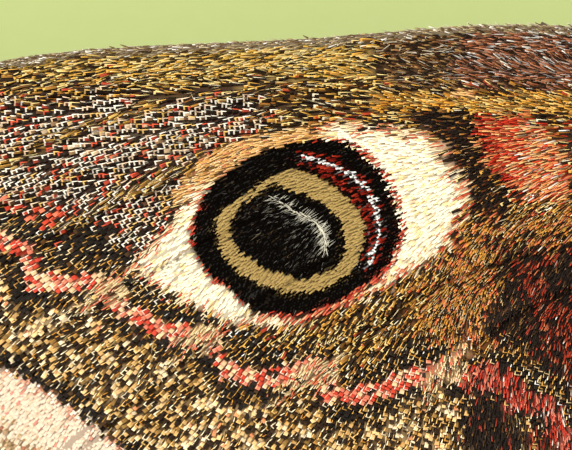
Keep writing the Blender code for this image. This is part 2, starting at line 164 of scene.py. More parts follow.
def smooth_ring(points: list | tuple, steps: int = 100) -> Array:
    """A smooth closed outline through given points.

    Args:
        points: the points it runs through, without repeating the first.
        steps: how many pieces it is cut into.

    Returns:
        Rows of points round it.
    """
    rows = np.array(points, float)
    count = len(rows)
    looped = rows[np.arange(-2, count + 3) % count]
    share = (2 + np.linspace(0, count, steps, endpoint=False)) / (count + 4)
    return smooth_path(looped, share)


def line_distance(places: Array, path: Array) -> tuple[Array, Array]:
    """How far places are from a path.

    Args:
        places: rows of (out, forward).
        path: rows of points along the path.

    Returns:
        The distance of each place, and the share of the path at its nearest point.
    """
    best = np.full(len(places), 1e9)
    where = np.zeros(len(places))
    for i in range(len(path) - 1):
        step = path[i + 1] - path[i]
        offset = places - path[i]
        t = np.clip(offset @ step / max(step @ step, 1e-12), 0, 1)
        far = np.linalg.norm(offset - t[:, None] * step, axis=1)
        nearer = far < best
        best[nearer] = far[nearer]
        where[nearer] = (i + t[nearer]) / (len(path) - 1)
    return best, where


def inside_distance(places: Array, ring: Array) -> Array:
    """Signed distance to a closed outline, below zero inside it.

    Args:
        places: rows of (out, forward).
        ring: rows of points round the outline.

    Returns:
        The signed distance of each place.
    """
    far, _ = line_distance(places, np.vstack((ring, ring[:1])))
    inside = np.zeros(len(places), bool)
    for a, b in zip(ring, np.roll(ring, -1, axis=0)):
        if a[1] == b[1]:
            continue
        crosses = (a[1] > places[:, 1]) != (b[1] > places[:, 1])
        at = a[0] + (places[:, 1] - a[1]) / (b[1] - a[1]) * (b[0] - a[0])
        inside ^= crosses & (places[:, 0] < at)
    return np.where(inside, -far, far)


def within(plan: Array, outline: tuple) -> Array:
    """Signed distance to the smooth ring through an outline's points, below zero inside it."""
    return inside_distance(plan, smooth_ring(outline))


def path_distance(plan: Array, path: tuple, steps: int) -> Array:
    """Distance to the smooth path through a few points, measured at so many places along it."""
    return line_distance(plan, smooth_path(path, np.linspace(0, 1, steps)))[0]


def mottle(places: Array, size: float, seed: int) -> Array:
    """Smooth random patches.

    Args:
        places: rows of (out, forward).
        size: how wide a patch is, in millimetres.
        seed: which patches.

    Returns:
        A value from -1 to 1 for each place.
    """
    cells = new_draw(seed).uniform(-1, 1, (256, 256))
    spot = places / size + 128.0
    base = np.floor(spot).astype(int)
    t = spot - base
    t = t * t * (3 - 2 * t)
    x, y = base[:, 0] % 255, base[:, 1] % 255
    low = cells[x, y] * (1 - t[:, 0]) + cells[x + 1, y] * t[:, 0]
    high = cells[x, y + 1] * (1 - t[:, 0]) + cells[x + 1, y + 1] * t[:, 0]
    return low * (1 - t[:, 1]) + high * t[:, 1]


def set_values(made: bpy.types.Node, settings: dict) -> None:
    """Sets a node's properties and input values.

    Args:
        made: the node.
        settings: properties by name, and input values by socket name or number.
    """
    for name, value in settings.items():
        if isinstance(name, int) or name in made.inputs:
            made.inputs[name].default_value = value
        else:
            setattr(made, name, value)


def add_node(tree: bpy.types.NodeTree, kind: str, settings: dict, links: dict) -> bpy.types.Node:
    """Adds a shader node.

    Args:
        tree: the node tree.
        kind: the node's Blender type.
        settings: properties by name, and input values by socket name or number.
        links: output sockets by the name or number of the input that they feed.

    Returns:
        The new node.
    """
    made = tree.nodes.new(kind)
    set_values(made, settings)
    for name, output in links.items():
        tree.links.new(output, made.inputs[name])
    return made


def new_material(name: str) -> tuple[Finish, bpy.types.NodeTree, bpy.types.Node]:
    """Starts a material.

    Args:
        name: its name.

    Returns:
        The material, its node tree and its shader.
    """
    made = bpy.data.materials.new(name)
    made.use_nodes = True
    return made, made.node_tree, made.node_tree.nodes["Principled BSDF"]


def add_object(name: str, data: bpy.types.ID) -> Piece:
    """Adds an object with the given mesh, camera or light to the scene.

    Args:
        name: its name.
        data: what it shows.

    Returns:
        The new object.
    """
    made = bpy.data.objects.new(name, data)
    bpy.context.scene.collection.objects.link(made)
    return made


@dataclass(frozen=True)
class Chitin:
    """Insect cuticle drawn out into flat scales, hairs or bare membrane, with pigment in the mesh.

    Chitin has an IOR near 1.56. The ridges of a scale scatter most of its shine, which the lowered
    specular level stands for, so the dark scales stay dark. The grain stands for those ridges, drawn
    coarser than their 2 micrometres so that they show.
    """

    name: str
    roughness: float
    ior: float = 1.56
    specular: float = 0.5
    grain_mm: float = 0.03
    grain_depth: float = 0.3
    sheen: float = 0.0

    def make(self) -> Finish:
        """Builds the material that reads the mesh's tint.

        Returns:
            The material.
        """
        made, tree, shader = new_material(self.name)
        tint = add_node(tree, "ShaderNodeAttribute", {"attribute_name": "tint"}, {})
        place = add_node(tree, "ShaderNodeTexCoord", {}, {})
        grain = add_node(tree, "ShaderNodeTexNoise", {"Scale": 1 / (self.grain_mm * MM), "Detail": 2.0},
            {"Vector": place.outputs["Object"]})
        shade = add_node(tree, "ShaderNodeMapRange", {"To Min": 0.75, "To Max": 1.25},
            {"Value": grain.outputs["Fac"]})
        colour = add_node(tree, "ShaderNodeVectorMath", {"operation": "SCALE"},
            {"Vector": tint.outputs["Color"], "Scale": shade.outputs["Result"]})
        gloss = add_node(tree, "ShaderNodeMapRange", {"To Min": self.roughness - 0.1,
            "To Max": self.roughness + 0.1}, {"Value": grain.outputs["Fac"]})
        bump = add_node(tree, "ShaderNodeBump", {"Strength": self.grain_depth, "Distance": self.grain_mm
            * MM}, {"Height": grain.outputs["Fac"]})
        tree.links.new(colour.outputs["Vector"], shader.inputs["Base Color"])
        tree.links.new(gloss.outputs["Result"], shader.inputs["Roughness"])
        tree.links.new(bump.outputs["Normal"], shader.inputs["Normal"])
        set_values(shader, {"IOR": self.ior, "Specular IOR Level": self.specular,
            "Sheen Weight": self.sheen})
        return made


@dataclass(frozen=True)
class EyeLens:
    """The dark glassy shell of a compound eye, with its lenses drawn larger than life so they show."""

    name: str = "compound_eye_lenses"
    deep: str = "#0d0806"
    rim: str = "#3a2416"
    lens_mm: float = 0.055
    ior: float = 1.56

    def make(self) -> Finish:
        """Builds the material from round cells.

        Returns:
            The material.
        """
        made, tree, shader = new_material(self.name)
        place = add_node(tree, "ShaderNodeTexCoord", {}, {})
        cells = add_node(tree, "ShaderNodeTexVoronoi", {"Scale": 1 / (self.lens_mm * MM),
            "Randomness": 0.35}, {"Vector": place.outputs["Object"]})
        ends = {6: (*linear(self.deep), 1.0), 7: (*linear(self.rim), 1.0)}
        colour = add_node(tree, "ShaderNodeMix", {"data_type": "RGBA", **ends},
            {0: cells.outputs["Distance"]})
        bump = add_node(tree, "ShaderNodeBump", {"Strength": 0.6, "Distance": 0.3 * self.lens_mm * MM,
            "invert": True}, {"Height": cells.outputs["Distance"]})
        tree.links.new(colour.outputs[2], shader.inputs["Base Color"])
        tree.links.new(bump.outputs["Normal"], shader.inputs["Normal"])
        set_values(shader, {"Roughness": 0.18, "IOR": self.ior, "Coat Weight": 0.5, "Coat Roughness": 0.08})
        return made


@dataclass(frozen=True)
class Paper:
    """Matt studio paper with a faint fibre grain, which gives the eye a calm pale ground."""

    name: str = "studio_paper"
    light: str = "#afbf83"
    dark: str = "#abbb7e"
    fibre_mm: float = 0.6

    def make(self) -> Finish:
        """Builds the material.

        Returns:
            The material.
        """
        made, tree, shader = new_material(self.name)
        place = add_node(tree, "ShaderNodeTexCoord", {}, {})
        fibre = add_node(tree, "ShaderNodeTexNoise", {"Scale": 1 / (self.fibre_mm * MM), "Detail": 4.0},
            {"Vector": place.outputs["Object"]})
        ends = {6: (*linear(self.light), 1.0), 7: (*linear(self.dark), 1.0)}
        colour = add_node(tree, "ShaderNodeMix", {"data_type": "RGBA", **ends}, {0: fibre.outputs["Fac"]})
        tree.links.new(colour.outputs[2], shader.inputs["Base Color"])
        set_values(shader, {"Roughness": 0.9})
        return made


@dataclass
class Finishes:
    """The materials of the moth, made once."""

    scale: Finish
    velvet: Finish
    membrane: Finish
    hair: Finish
    cuticle: Finish
    eye: Finish


def new_piece(name: str, points: Array, faces: Array, finish: Finish, side: Side = Side.LEFT,
        tints: dict[str, Array] | None = None, roots: Array | None = None, smooth: bool = False) -> Piece:
    """Makes one mesh piece that rides on the body.

    Args:
        name: the piece's name.
        points: rows of x, y and z in millimetres, on the left half.
        faces: rows of vertex numbers, three or four to a row.
        finish: its material.
        side: on which half it belongs.
        tints: by name, a linear colour for each vertex, or for each corner of each face.
        roots: the place of each vertex on the bake's map.
        smooth: whether its faces are shaded smooth.

    Returns:
        The new object.
    """
    corners = faces.size
    if side is Side.RIGHT:
        points = points * (-1, 1, 1)
        faces = faces[:, ::-1]
    mesh = bpy.data.meshes.new(name)
    mesh.vertices.add(len(points))
    mesh.vertices.foreach_set("co", (points * MM).astype(np.float32).ravel())
    mesh.loops.add(faces.size)
    mesh.loops.foreach_set("vertex_index", faces.astype(np.int32).ravel())
    mesh.polygons.add(len(faces))
    mesh.polygons.foreach_set("loop_start", np.arange(0, faces.size, faces.shape[1], dtype=np.int32))
    mesh.polygons.foreach_set("use_smooth", np.full(len(faces), smooth))
    mesh.update(calc_edges=True)
    for word, rows in (tints or {}).items():
        by_corner = len(rows) == corners
        if by_corner and side is Side.RIGHT:
            rows = rows.reshape(*faces.shape, 3)[:, ::-1].reshape(-1, 3)
        rgba = np.hstack((rows, np.ones((len(rows), 1))))
        store = mesh.attributes.new(word, "FLOAT_COLOR", "CORNER" if by_corner else "POINT")
        store.data.foreach_set("color", rgba.astype(np.float32).ravel())
    if roots is not None:
        layer = mesh.uv_layers.new(name="OFBake")
        layer.data.foreach_set("uv", roots[faces.ravel()].astype(np.float32).ravel())
    mesh.materials.append(finish)
    made = add_object(name, mesh)
    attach(made, "root")
    LOG.info("%s: %d faces", name, len(faces))
    return made


@dataclass(frozen=True)
class Mix:
    """Scales or hairs of several colours that grow mixed in one zone.

    Each part is its share, the colour of its body and the colour of its tip; the tip, mostly paler,
    is partly the scale's own colour and partly a painted highlight where the tips catch the light. Each
    rim glint and each loose bristle is its share and its colour, and no colour means none. A rim glint
    is a painted highlight along a raised edge, partly also the pale colour of the scales beneath; it
    runs along a scale's front side, and on the tipped share of the scales round its tip as well. The
    long, wide, lift and rim glint width factors are against a plain scale, turn is how untidily they
    lie, in degrees, uneven is how much they differ in lightness, pointed is how far they narrow to the
    tip, kept is the share of the scales that grow at all, fine ones are smaller and closer, and velvet
    ones hold the light back.
    """

    parts: tuple[tuple[float, str, str], ...]
    # Rim colours: painted highlights of the scales' raised edges, partly also the pale colour of scales
    # beneath.
    rim_glints: tuple[tuple[float, str], ...] = ((1.0, ""),)
    bristles: tuple[tuple[float, str], ...] = ((1.0, ""),)
    long: float = 1.0
    wide: float = 1.0
    lift: float = 1.0
    rim_width: float = 1.0
    tipped: float = 0.35
    turn: float = 6.0
    uneven: float = 0.2
    pointed: float = 0.12
    kept: float = 1.0
    fine: bool = False
    velvet: bool = False


FACTORS = ("long", "wide", "lift", "rim_width", "tipped", "turn", "uneven", "pointed", "kept", "fine",
    "velvet")


@dataclass
class Growth:
    """What each scale drew: its colours, with the painted highlights of its rims and tips, and the factors
    of its mix.
    """

    body: Array
    tip: Array
    rim: Array
    tip_glint: Array
    factors: dict[str, Array]

    def only(self, chosen: Array) -> "Growth":
        """Keeps the chosen scales."""
        return Growth(self.body[chosen], self.tip[chosen], self.rim[chosen], self.tip_glint[chosen],
            {name: values[chosen] for name, values in self.factors.items()})


@dataclass
class Coat:
    """The scales or hairs of one surface while their zones are chosen and their colours drawn."""

    plan: Array
    seed: int
    zone: Array = field(init=False)
    mixes: list[Mix] = field(init=False)
    draws: Array = field(init=False)

    def __post_init__(self) -> None:
        """Starts with no zones."""
        self.zone = np.zeros(len(self.plan), int)
        self.mixes = []
        self.draws = new_draw(self.seed).uniform(0, 1, (len(self.plan), 5))

    def fill(self, distance: Array | float, mix: Mix, soft: float = 0.06) -> None:
        """Gives the scales inside an outline to a mix, with a ragged edge.

        Args:
            distance: signed distance of each scale, below zero inside.
            mix: what grows there.
            soft: how far the edge is mixed, in millimetres.
        """
        self.mixes.append(mix)
        ragged = distance + soft * (2 * self.draws[:, 0] - 1)
        self.zone[ragged < 0] = len(self.mixes) - 1

    def colours(self) -> Growth:
        """Draws each scale from its zone's mix.

        Returns:
            What each scale drew.
        """
        count = len(self.plan)
        body, tip, rim = np.zeros((count, 3)), np.zeros((count, 3)), np.zeros((count, 3))
        factors = {name: np.array([getattr(mix, name) for mix in self.mixes], float)[self.zone]
            for name in FACTORS}
        for number, mix in enumerate(self.mixes):
            here = self.zone == number
            shares = np.cumsum([part[0] for part in mix.parts])
            pick = np.searchsorted(shares / shares[-1], self.draws[here, 1])
            body[here] = np.array([linear(part[1]) for part in mix.parts])[pick]
            tip[here] = np.array([linear(part[2]) for part in mix.parts])[pick]
            # Rim colours are painted highlights, partly the pale colour of scales beneath; a scale without
            # one gets a blend of body and tip.
            bright, plain = self.drawn(mix.rim_glints, self.draws[here, 2])
            rim[here] = np.where(plain[:, None], 0.4 * body[here] + 0.6 * tip[here], bright)
        shade = 1 + (factors["uneven"] * (2 * self.draws[:, 3] - 1))[:, None]
        # On the tipped share the tip faces get a painted highlight as well.
        tipped = (self.draws[:, 4] < factors["tipped"])[:, None]
        end = 0.4 * body + 0.6 * tip
        tip_glint = np.where(tipped, 0.65 * rim + 0.35 * end, end)
        return Growth(body * shade, tip * shade, rim * shade, tip_glint * shade, factors)

    def ground(self) -> Array:
        """The mean colour of each place's zone, for the surface that carries the coat."""
        means = [sum(part[0] * (np.array(linear(part[1])) + np.array(linear(part[2])))
            for part in mix.parts) / (2 * sum(part[0] for part in mix.parts)) for mix in self.mixes]
        return np.array(means)[self.zone]

    def drawn(self, palette: tuple[tuple[float, str], ...], draws: Array) -> tuple[Array, Array]:
        """Draws colours from a palette.

        Args:
            palette: pairs of a share and a colour, where no colour means none.
            draws: a random number for each colour wanted.

        Returns:
            The linear colours, and which of them are none.
        """
        shares = np.cumsum([part[0] for part in palette])
        pick = np.searchsorted(shares / shares[-1], draws)
        colours = np.array([linear(part[1] or "#000000") for part in palette])[pick]
        return colours, np.array([not part[1] for part in palette])[pick]

    def bristles(self) -> tuple[Array, Array]:
        """Draws a loose bristle for each place, or none.

        Returns:
            The linear colours, and which places have one.
        """
        colours, shown = np.zeros((len(self.plan), 3)), np.zeros(len(self.plan), bool)
        for number, mix in enumerate(self.mixes):
            here = self.zone == number
            colours[here], bare = self.drawn(mix.bristles, self.draws[here, 1])
            shown[here] = ~bare
        return colours * (0.6 + 0.6 * self.draws[:, 3:4]), shown


def joined(corners: list[Array], pattern: Array) -> tuple[Array, Array]:
    """Joins many like shapes into one set of points and faces.

    Args:
        corners: for each corner of the shape, its place in every shape.
        pattern: the faces of one shape.

    Returns:
        Rows of points and rows of vertex numbers.
    """
    points = np.stack(corners, axis=1).reshape(-1, 3)
    starts = np.arange(len(corners[0])) * len(corners)
    return points, (starts[:, None, None] + pattern).reshape(-1, pattern.shape[1])


@dataclass
class Hairs:
    """Tapered three-sided hairs that bend over towards the skin."""

    roots: Array
    ways: Array
    normals: Array
    lengths: Array
    radii: Array
    bends: Array | float = 0.3
    rings: int = 2

    def place(self, share: Array | float) -> Array:
        """The middle of each hair at a share of its length.

        Args:
            share: shares of the hairs' lengths.

        Returns:
            Rows of points.
        """
        lengths = self.lengths[:, None]
        over = unit(self.normals - self.ways * np.sum(self.normals * self.ways, axis=1, keepdims=True))
        bend = np.broadcast_to(np.asarray(self.bends, float), (len(self.roots),))[:, None]
        return self.roots + self.ways * lengths * share - over * lengths * bend * share**2

    def build(self, name: str, finish: Finish, side: Side, colours: tuple[Array, Array], map_places: Array,
            floor: float = 0.02) -> Piece:
        """Makes the hairs as one piece.

        Args:
            name: the piece's name.
            finish: its material.
            side: on which half it belongs.
            colours: the colours at the roots and at the tips.
            map_places: where each root is on the bake's map, from 0 to 1.
            floor: no point goes lower than this, in millimetres.

        Returns:
            The hairs.
        """
        aside = unit(np.cross(self.ways, self.normals))
        over = unit(np.cross(aside, self.ways))
        corners, shares, local = [], [], []
        for ring in range(self.rings):
            share = ring / self.rings
            radius = (self.radii * (1 - 0.55 * share**2))[:, None]
            middle = self.place(share)
            for k in range(3):
                turn = 2 * math.pi * k / 3
                corners.append(middle + radius * (math.cos(turn) * over + math.sin(turn) * aside))
                shares.append(share)
                local.append((0.5 * math.sin(turn), share - 0.5))
        corners.append(self.place(1.0))
        shares.append(1.0)
        local.append((0.0, 0.5))
        pattern = [(0, 2, 1)]
        for ring in range(self.rings - 1):
            for k in range(3):
                a, b = 3 * ring + k, 3 * ring + (k + 1) % 3
                pattern += [(a, b, b + 3), (a, b + 3, a + 3)]
        last = 3 * (self.rings - 1)
        pattern += [(last + k, last + (k + 1) % 3, last + 3) for k in range(3)]
        points, faces = joined(corners, np.array(pattern))
        points[:, 2] = np.maximum(points[:, 2], floor)
        tint = np.stack([colours[0] * (1 - s) + colours[1] * s for s in shares], axis=1).reshape(-1, 3)
        uv = (0.01 + 0.98 * map_places[:, None, :] + PATCH * np.array(local)[None]).reshape(-1, 2)
        return new_piece(name, points, faces, finish, side, {"tint": tint}, uv)


Lines = dict[str, list[Plan]]


@dataclass
class WingForm:
    """The plan, height and veins of one wing, the same as in the solids that it replaces."""

    lines: Lines
    veins: dict[str, float]
    lift: float
    sweep: float = 0.0
    membrane: float = 0.14
    vein_rise: float = 0.07
    vein_width: float = 0.13
    front_rise: float = 0.12
    front_width: float = 0.30
    hinge_out: float = 3.3
    hinge_up: float = 6.7
    rise: float = 0.10
    sag: float = 0.0045
    pitch: float = 0.055
    camber: float = 0.004
    camber_middle: float = -5.0
    net: Array = field(init=False)

    def __post_init__(self) -> None:
        """Lays the lines out as a net with padded ends."""
        rows = np.array([self.lines[name] for name in self.lines], float)
        self.net = np.array([pad_ends(row) for row in pad_ends(rows)])

    def plan(self, along: Array, across: Array) -> Array:
        """The plan place on the wing.

        Args:
            along: shares from the hinge to the margin.
            across: shares from the front edge to the hind edge.

        Returns:
            Rows of (out, forward).
        """
        column, column_weights = spline_weights(across, len(self.lines))
        row, row_weights = spline_weights(along, self.net.shape[1] - 2)
        places = np.zeros((len(along), 2))
        for i in range(4):
            for j in range(4):
                weight = column_weights[:, i] * row_weights[:, j]
                places += weight[:, None] * self.net[column + i, row + j]
        return places

    def middle(self, plan: Array) -> Array:
        """The height of the wing's middle surface over plan places.

        Args:
            plan: rows of (out, forward).

        Returns:
            The height at each place, in millimetres.
        """
        out, forward = plan[:, 0] - self.hinge_out, plan[:, 1]
        bend = self.camber * (forward - self.camber_middle) ** 2
        slope = self.hinge_up + self.rise * out - self.sag * out**2 + self.pitch * forward
        return slope - bend + self.lift

    def spacing(self, along: Array, across: Array) -> Array:
        """How far apart neighbouring lines run at a place, in millimetres.

        Args:
            along: shares from the hinge to the margin.
            across: shares from the front edge to the hind edge.

        Returns:
            The distance at each place.
        """
        step = 0.01
        low, high = np.maximum(across - step, 0), np.minimum(across + step, 1)
        apart = np.linalg.norm(self.plan(along, high) - self.plan(along, low), axis=1)
        return apart / (high - low) / (len(self.lines) - 1)

    def vein_share(self, along: Array, across: Array) -> tuple[Array, Array]:
        """How strongly a place lies on a vein.

        Args:
            along: shares from the hinge to the margin.
            across: shares from the front edge to the hind edge.

        Returns:
            A value from 0 to 1, and the distance behind the nearest vein in millimetres.
        """
        gap = self.spacing(along, across)
        number = across * (len(self.lines) - 1)
        strength = np.zeros(len(along))
        nearest = np.full(len(along), NOWHERE)
        for k, name in enumerate(self.lines):
            if name not in self.veins:
                continue
            off = (number - k) * gap
            shown = np.clip((along - self.veins[name]) / 0.12, 0, 1)
            strength = np.maximum(strength, shown * np.exp(-(off / self.vein_width) ** 2))
            closer = (np.abs(off) < np.abs(nearest)) & (shown > 0.5)
            nearest[closer] = off[closer]
        return strength, nearest

    def surface(self, along: Array, across: Array, face: Face) -> Array:
        """Points of the membrane's surface on the left half, in millimetres.

        Args:
            along: shares from the hinge to the margin.
            across: shares from the front edge to the hind edge.
            face: which face.

        Returns:
            Rows of x, y and z.
        """
        plan = self.plan(along, across)
        strength, _ = self.vein_share(along, across)
        from_front = across * (len(self.lines) - 1) * self.spacing(along, across)
        rod = np.exp(-(from_front / self.front_width) ** 2)
        half = self.membrane / 2 + self.vein_rise * strength + self.front_rise * rod
        up = self.middle(plan) + face.value * half
        return solid(np.hstack((plan, up[:, None])))

    def frames(self, along: Array, across: Array, face: Face) -> tuple[Array, Array, Array]:
        """The lie of the surface.

        Args:
            along: shares from the hinge to the margin.
            across: shares from the front edge to the hind edge.
            face: which face.

        Returns:
            The directions to the margin, towards the front edge and away from the wing.
        """
        step = 0.004
        low, high = np.maximum(along - step, 0), np.minimum(along + step, 1)
        outward = unit(self.surface(high, across, face) - self.surface(low, across, face))
        low, high = np.maximum(across - step, 0), np.minimum(across + step, 1)
        front = self.surface(along, low, face) - self.surface(along, high, face)
        away = unit(np.cross(front, outward)) * face.value
        return outward, unit(np.cross(outward, away)) * face.value, away


FOREWING = WingForm(
    lines={
        "costa": [(1.6, 2.6), (9.3, 4.15), (16.3, 3.8), (23.3, 3.4), (27.8, 1.85)],
        "subcosta": [(1.6, 2.2), (9.3, 3.4), (16.3, 3.1), (23.4, 2.2), (29.3, 0.3)],
        "radius": [(1.6, 1.8), (9.3, 2.6), (16.3, 2.4), (23.2, 1.0), (29.9, -1.5)],
        "radial_sector": [(1.6, 1.4), (9.3, 1.9), (16.3, 1.75), (22.9, -0.15), (29.7, -3.3)],
        "media_1": [(1.6, 1.0), (9.3, 1.2), (16.2, 1.1), (22.5, -1.4), (28.8, -5.1)],
        "media_2": [(1.6, 0.6), (9.2, 0.4), (15.7, -0.3), (21.2, -3.0), (27.0, -7.3)],
        "media_3": [(1.6, 0.2), (8.9, -0.4), (14.9, -1.6), (19.7, -5.1), (24.8, -9.7)],
        "cubitus_1": [(1.6, -0.2), (8.5, -1.1), (13.6, -2.9), (17.7, -6.6), (22.2, -11.9)],
        "cubitus_2": [(1.6, -0.6), (7.7, -1.8), (11.8, -3.8), (15.2, -8.0), (19.5, -13.5)],
        "anal": [(1.6, -1.0), (6.2, -2.9), (9.2, -5.7), (12.6, -9.9), (16.6, -14.1)],
        "dorsum": [(1.6, -1.4), (5.0, -3.5), (7.8, -6.6), (10.9, -10.2), (14.3, -13.0)],
    },
    veins={"subcosta": 0.06, "radius": 0.06, "radial_sector": 0.42, "media_1": 0.48, "media_2": 0.50,
           "media_3": 0.46, "cubitus_1": 0.30, "cubitus_2": 0.12, "anal": 0.06},
    lift=0.42,
    sweep=0.62,
)
HINDWING = WingForm(
    lines={
        "costa": [(1.6, -1.3), (6.6, -2.6), (11.2, -4.8), (15.4, -7.7), (18.3, -10.3)],
        "subcosta": [(1.6, -1.6), (6.4, -3.2), (10.8, -6.0), (15.0, -9.5), (18.9, -12.9)],
        "radial_sector": [(1.6, -1.9), (6.1, -3.9), (10.1, -7.2), (13.9, -11.1), (17.8, -15.4)],
        "media_1": [(1.6, -2.2), (5.7, -4.5), (9.3, -8.2), (12.6, -12.4), (15.7, -17.2)],
        "media_2": [(1.6, -2.5), (5.3, -5.0), (8.4, -9.0), (11.1, -13.4), (13.7, -18.5)],
        "media_3": [(1.6, -2.8), (4.9, -5.4), (7.5, -9.6), (9.6, -14.1), (11.5, -19.3)],
        "cubitus_1": [(1.6, -3.1), (4.5, -5.7), (6.5, -9.9), (8.0, -14.4), (9.2, -19.5)],
        "cubitus_2": [(1.6, -3.4), (4.1, -6.0), (5.5, -10.0), (6.4, -14.3), (7.0, -18.9)],
        "anal": [(1.6, -3.7), (3.7, -6.2), (4.5, -9.9), (4.8, -13.6), (4.9, -17.2)],
        "inner": [(1.6, -4.0), (3.35, -6.4), (3.5, -9.4), (3.6, -12.2), (3.75, -14.6)],
    },
    veins={"subcosta": 0.10, "radial_sector": 0.10, "media_1": 0.45, "media_2": 0.47, "media_3": 0.43,
           "cubitus_1": 0.28, "cubitus_2": 0.12, "anal": 0.10},
    lift=-0.58,
)

# Kinds of mixes whose scales share their lie, from slender scales to long hairs.
Slender = partial(Mix, pointed=0.4, fine=True)
Downy = partial(Mix, tipped=0.1, turn=9, pointed=0.5, fine=True)
Hairy = partial(Mix, tipped=0.1, turn=9, pointed=0.6, fine=True)
# Rim palettes: painted highlights along the scales' edges, partly also the pale colour of the scales
# beneath.
GOLD_RIM_GLINTS = ((1.4, ""), (3, "#f4bc54"), (2.8, "#ffe49c"), (1, "#b87426"), (1, "#fff6dc"))
WHITE_RIM_GLINTS = ((0.5, ""), (4.4, "#fff8ec"), (2, "#f4d6b8"), (1.1, "#e45a3c"), (1.1, "#f4c878"))
GOLD_BRISTLES = ((3, ""), (2, "#f4c468"), (1, "#fff0c4"), (0.5, "#e87840"))
UMBER = Mix(((8, "#1a0d04", "#2c1a08"), (1.8, "#4a2f10", "#8f6228"), (0.7, "#7c5220", "#cc9644"),
    (0.3, "#6a2012", "#c04a2c")), GOLD_RIM_GLINTS, GOLD_BRISTLES, long=1.4, wide=0.82, rim_width=1.3, turn=9,
    pointed=0.35)
LATTICE_PALE = Mix(((6, "#190e06", "#2c1b0c"), (1.6, "#5a4028", "#9a7a58"), (0.8, "#a08468", "#dcc4a4")),
    WHITE_RIM_GLINTS, ((4, ""), (1, "#fff4e4")), rim_width=1.4, tipped=0.85, turn=5, pointed=0.2)
LATTICE = Mix(((7, "#160b04", "#261608"), (1.6, "#3a2414", "#6a4428"), (0.8, "#6a1c10", "#b4442c")),
    WHITE_RIM_GLINTS, ((5, ""), (1, "#fff4e4")), rim_width=1.3, tipped=0.8, turn=5, pointed=0.2)
LATTICE_RED = Mix(((4, "#180c05", "#2a180a"), (2.6, "#9a2616", "#dc4a2c"), (1.6, "#c84c34", "#f49474")),
    ((1, ""), (3, "#fff4e6"), (2, "#f4704e")), tipped=0.8, turn=5, pointed=0.2)
OCHRE = Mix(((5, "#22140a", "#442e10"), (2, "#5a3c14", "#a87a30"), (0.8, "#a87c36", "#ecc878")),
    ((0.6, ""), (3, "#ffe6ac"), (2.4, "#ecb854"), (0.8, "#fff6e0")), ((2, ""), (2, "#ffe4a0")), long=1.5,
    wide=0.75, turn=8, pointed=0.4)
COSTAL_GOLD = Slender(((3, "#221306", "#46300e"), (2.4, "#a07428", "#f0bc54"), (2, "#dcb054", "#ffeca8")),
    ((2, ""), (2, "#fff0b8"), (1.6, "#f8cc54")), ((2, ""), (1, "#fff0b8")), long=1.7, wide=0.75, turn=8)
GOLD = Slender(((3, "#b8741c", "#ffbc4c"), (2, "#8a5418", "#dc9034"), (2, "#241306", "#4a2c0a"),
    (2, "#d8a454", "#ffe69c")), ((1, ""), (2, "#ffe490"), (2, "#f8bc40")), ((1, ""), (1, "#ffd870")),
    long=1.4, wide=0.75, turn=9)
DARK = Mix(((8, "#100702", "#1a0e05"), (1.0, "#24150a", "#6a441a")), ((1.4, ""), (3, "#e8ac50"),
    (2, "#fbe0ac"), (0.5, "#ffffff")), ((2, ""), (2, "#ffd890")), rim_width=0.9, tipped=0.25, pointed=0.2)
DARK_RIM = Mix(((8, "#100803", "#190e06"), (1.0, "#20140a", "#5a3c1c")), ((3, ""), (1.8, "#c89444"),
    (1, "#f4e2c0")), ((3, ""), (1, "#f0d090")), rim_width=0.9, tipped=0.25, pointed=0.2)
DARK_GOLD = Slender(((5, "#180c04", "#2e1a08"), (2.2, "#7a4414", "#e09c38"), (1.8, "#b04826", "#f48c58")),
    ((1.6, ""), (3, "#f8b854"), (2, "#ffecb8"), (1, "#ec7048")), ((1, ""), (2, "#f8c868"), (0.8, "#fbecc8"),
    (0.6, "#ec7a50")), long=1.5, wide=0.75, tipped=0.2, turn=8)
GAP = Slender(((9, "#110602", "#190b04"), (0.9, "#32180a", "#e09a48"), (1, "#38180a", "#6a3414")),
    ((8, ""), (1.4, "#ecac54"), (0.3, "#ffe8bc")), ((5, ""), (1, "#f4b864")), long=1.1, wide=0.8,
    rim_width=0.9, tipped=0.2, turn=8)
COSTAL = Slender(((6, "#1c0f06", "#322010"), (2, "#4a2c16", "#946238"), (1.4, "#7a5a34", "#cca46c")),
    ((3, ""), (1.2, "#f4e0bc"), (2, "#d09c5c")), ((3, ""), (1, "#f8ecd8")), wide=0.75, long=1.1, tipped=0.2,
    turn=10)
COSTAL_PINK = Mix(((3, "#6a3820", "#b46c44"), (2.4, "#8e4e32", "#d09070"), (4, "#1e1008", "#3a2210"),
    (0.5, "#e4dcd0", "#ffffff")), ((4, ""), (0.8, "#ffffff"), (1.4, "#e4a880")), ((1, ""), (1.4, "#ffffff"),
    (0.6, "#f8ccac")), long=1.3, wide=0.7, lift=1.2, tipped=0.1, turn=10, pointed=0.5, fine=True)
# The front edge strip: tan and brown scales; the white share and white rims are partly pale scales and
# partly a painted highlight of the backlit edge.
EDGE = Mix(((4, "#8a7452", "#cdb88e"), (4, "#463418", "#846640"), (1, "#d8ccb8", "#ffffff")),
    ((3, ""), (1, "#fffaf0")), ((2, ""), (1, "#e8d8b8")), wide=0.7, lift=0.4, turn=12, pointed=0.5,
    fine=True)
CREAM = Slender(((8, "#fff0d2", "#fff9ea"), (1.6, "#fbdc9c", "#ffe8b4"), (0.3, "#f6c8a0", "#fbdcbc")),
    long=2.0, wide=1.2, lift=0.25, uneven=0.03, turn=8)
CREAM_TAN = Mix(((5, "#d8a058", "#f4c888"), (2, "#c4843c", "#e8b468"), (1, "#c07048", "#eca070"),
    (0.8, "#3a2610", "#6a4820")), ((2, ""), (2, "#ffe8bc")), long=1.8, wide=0.9, lift=0.5, uneven=0.1,
    pointed=0.5, fine=True)
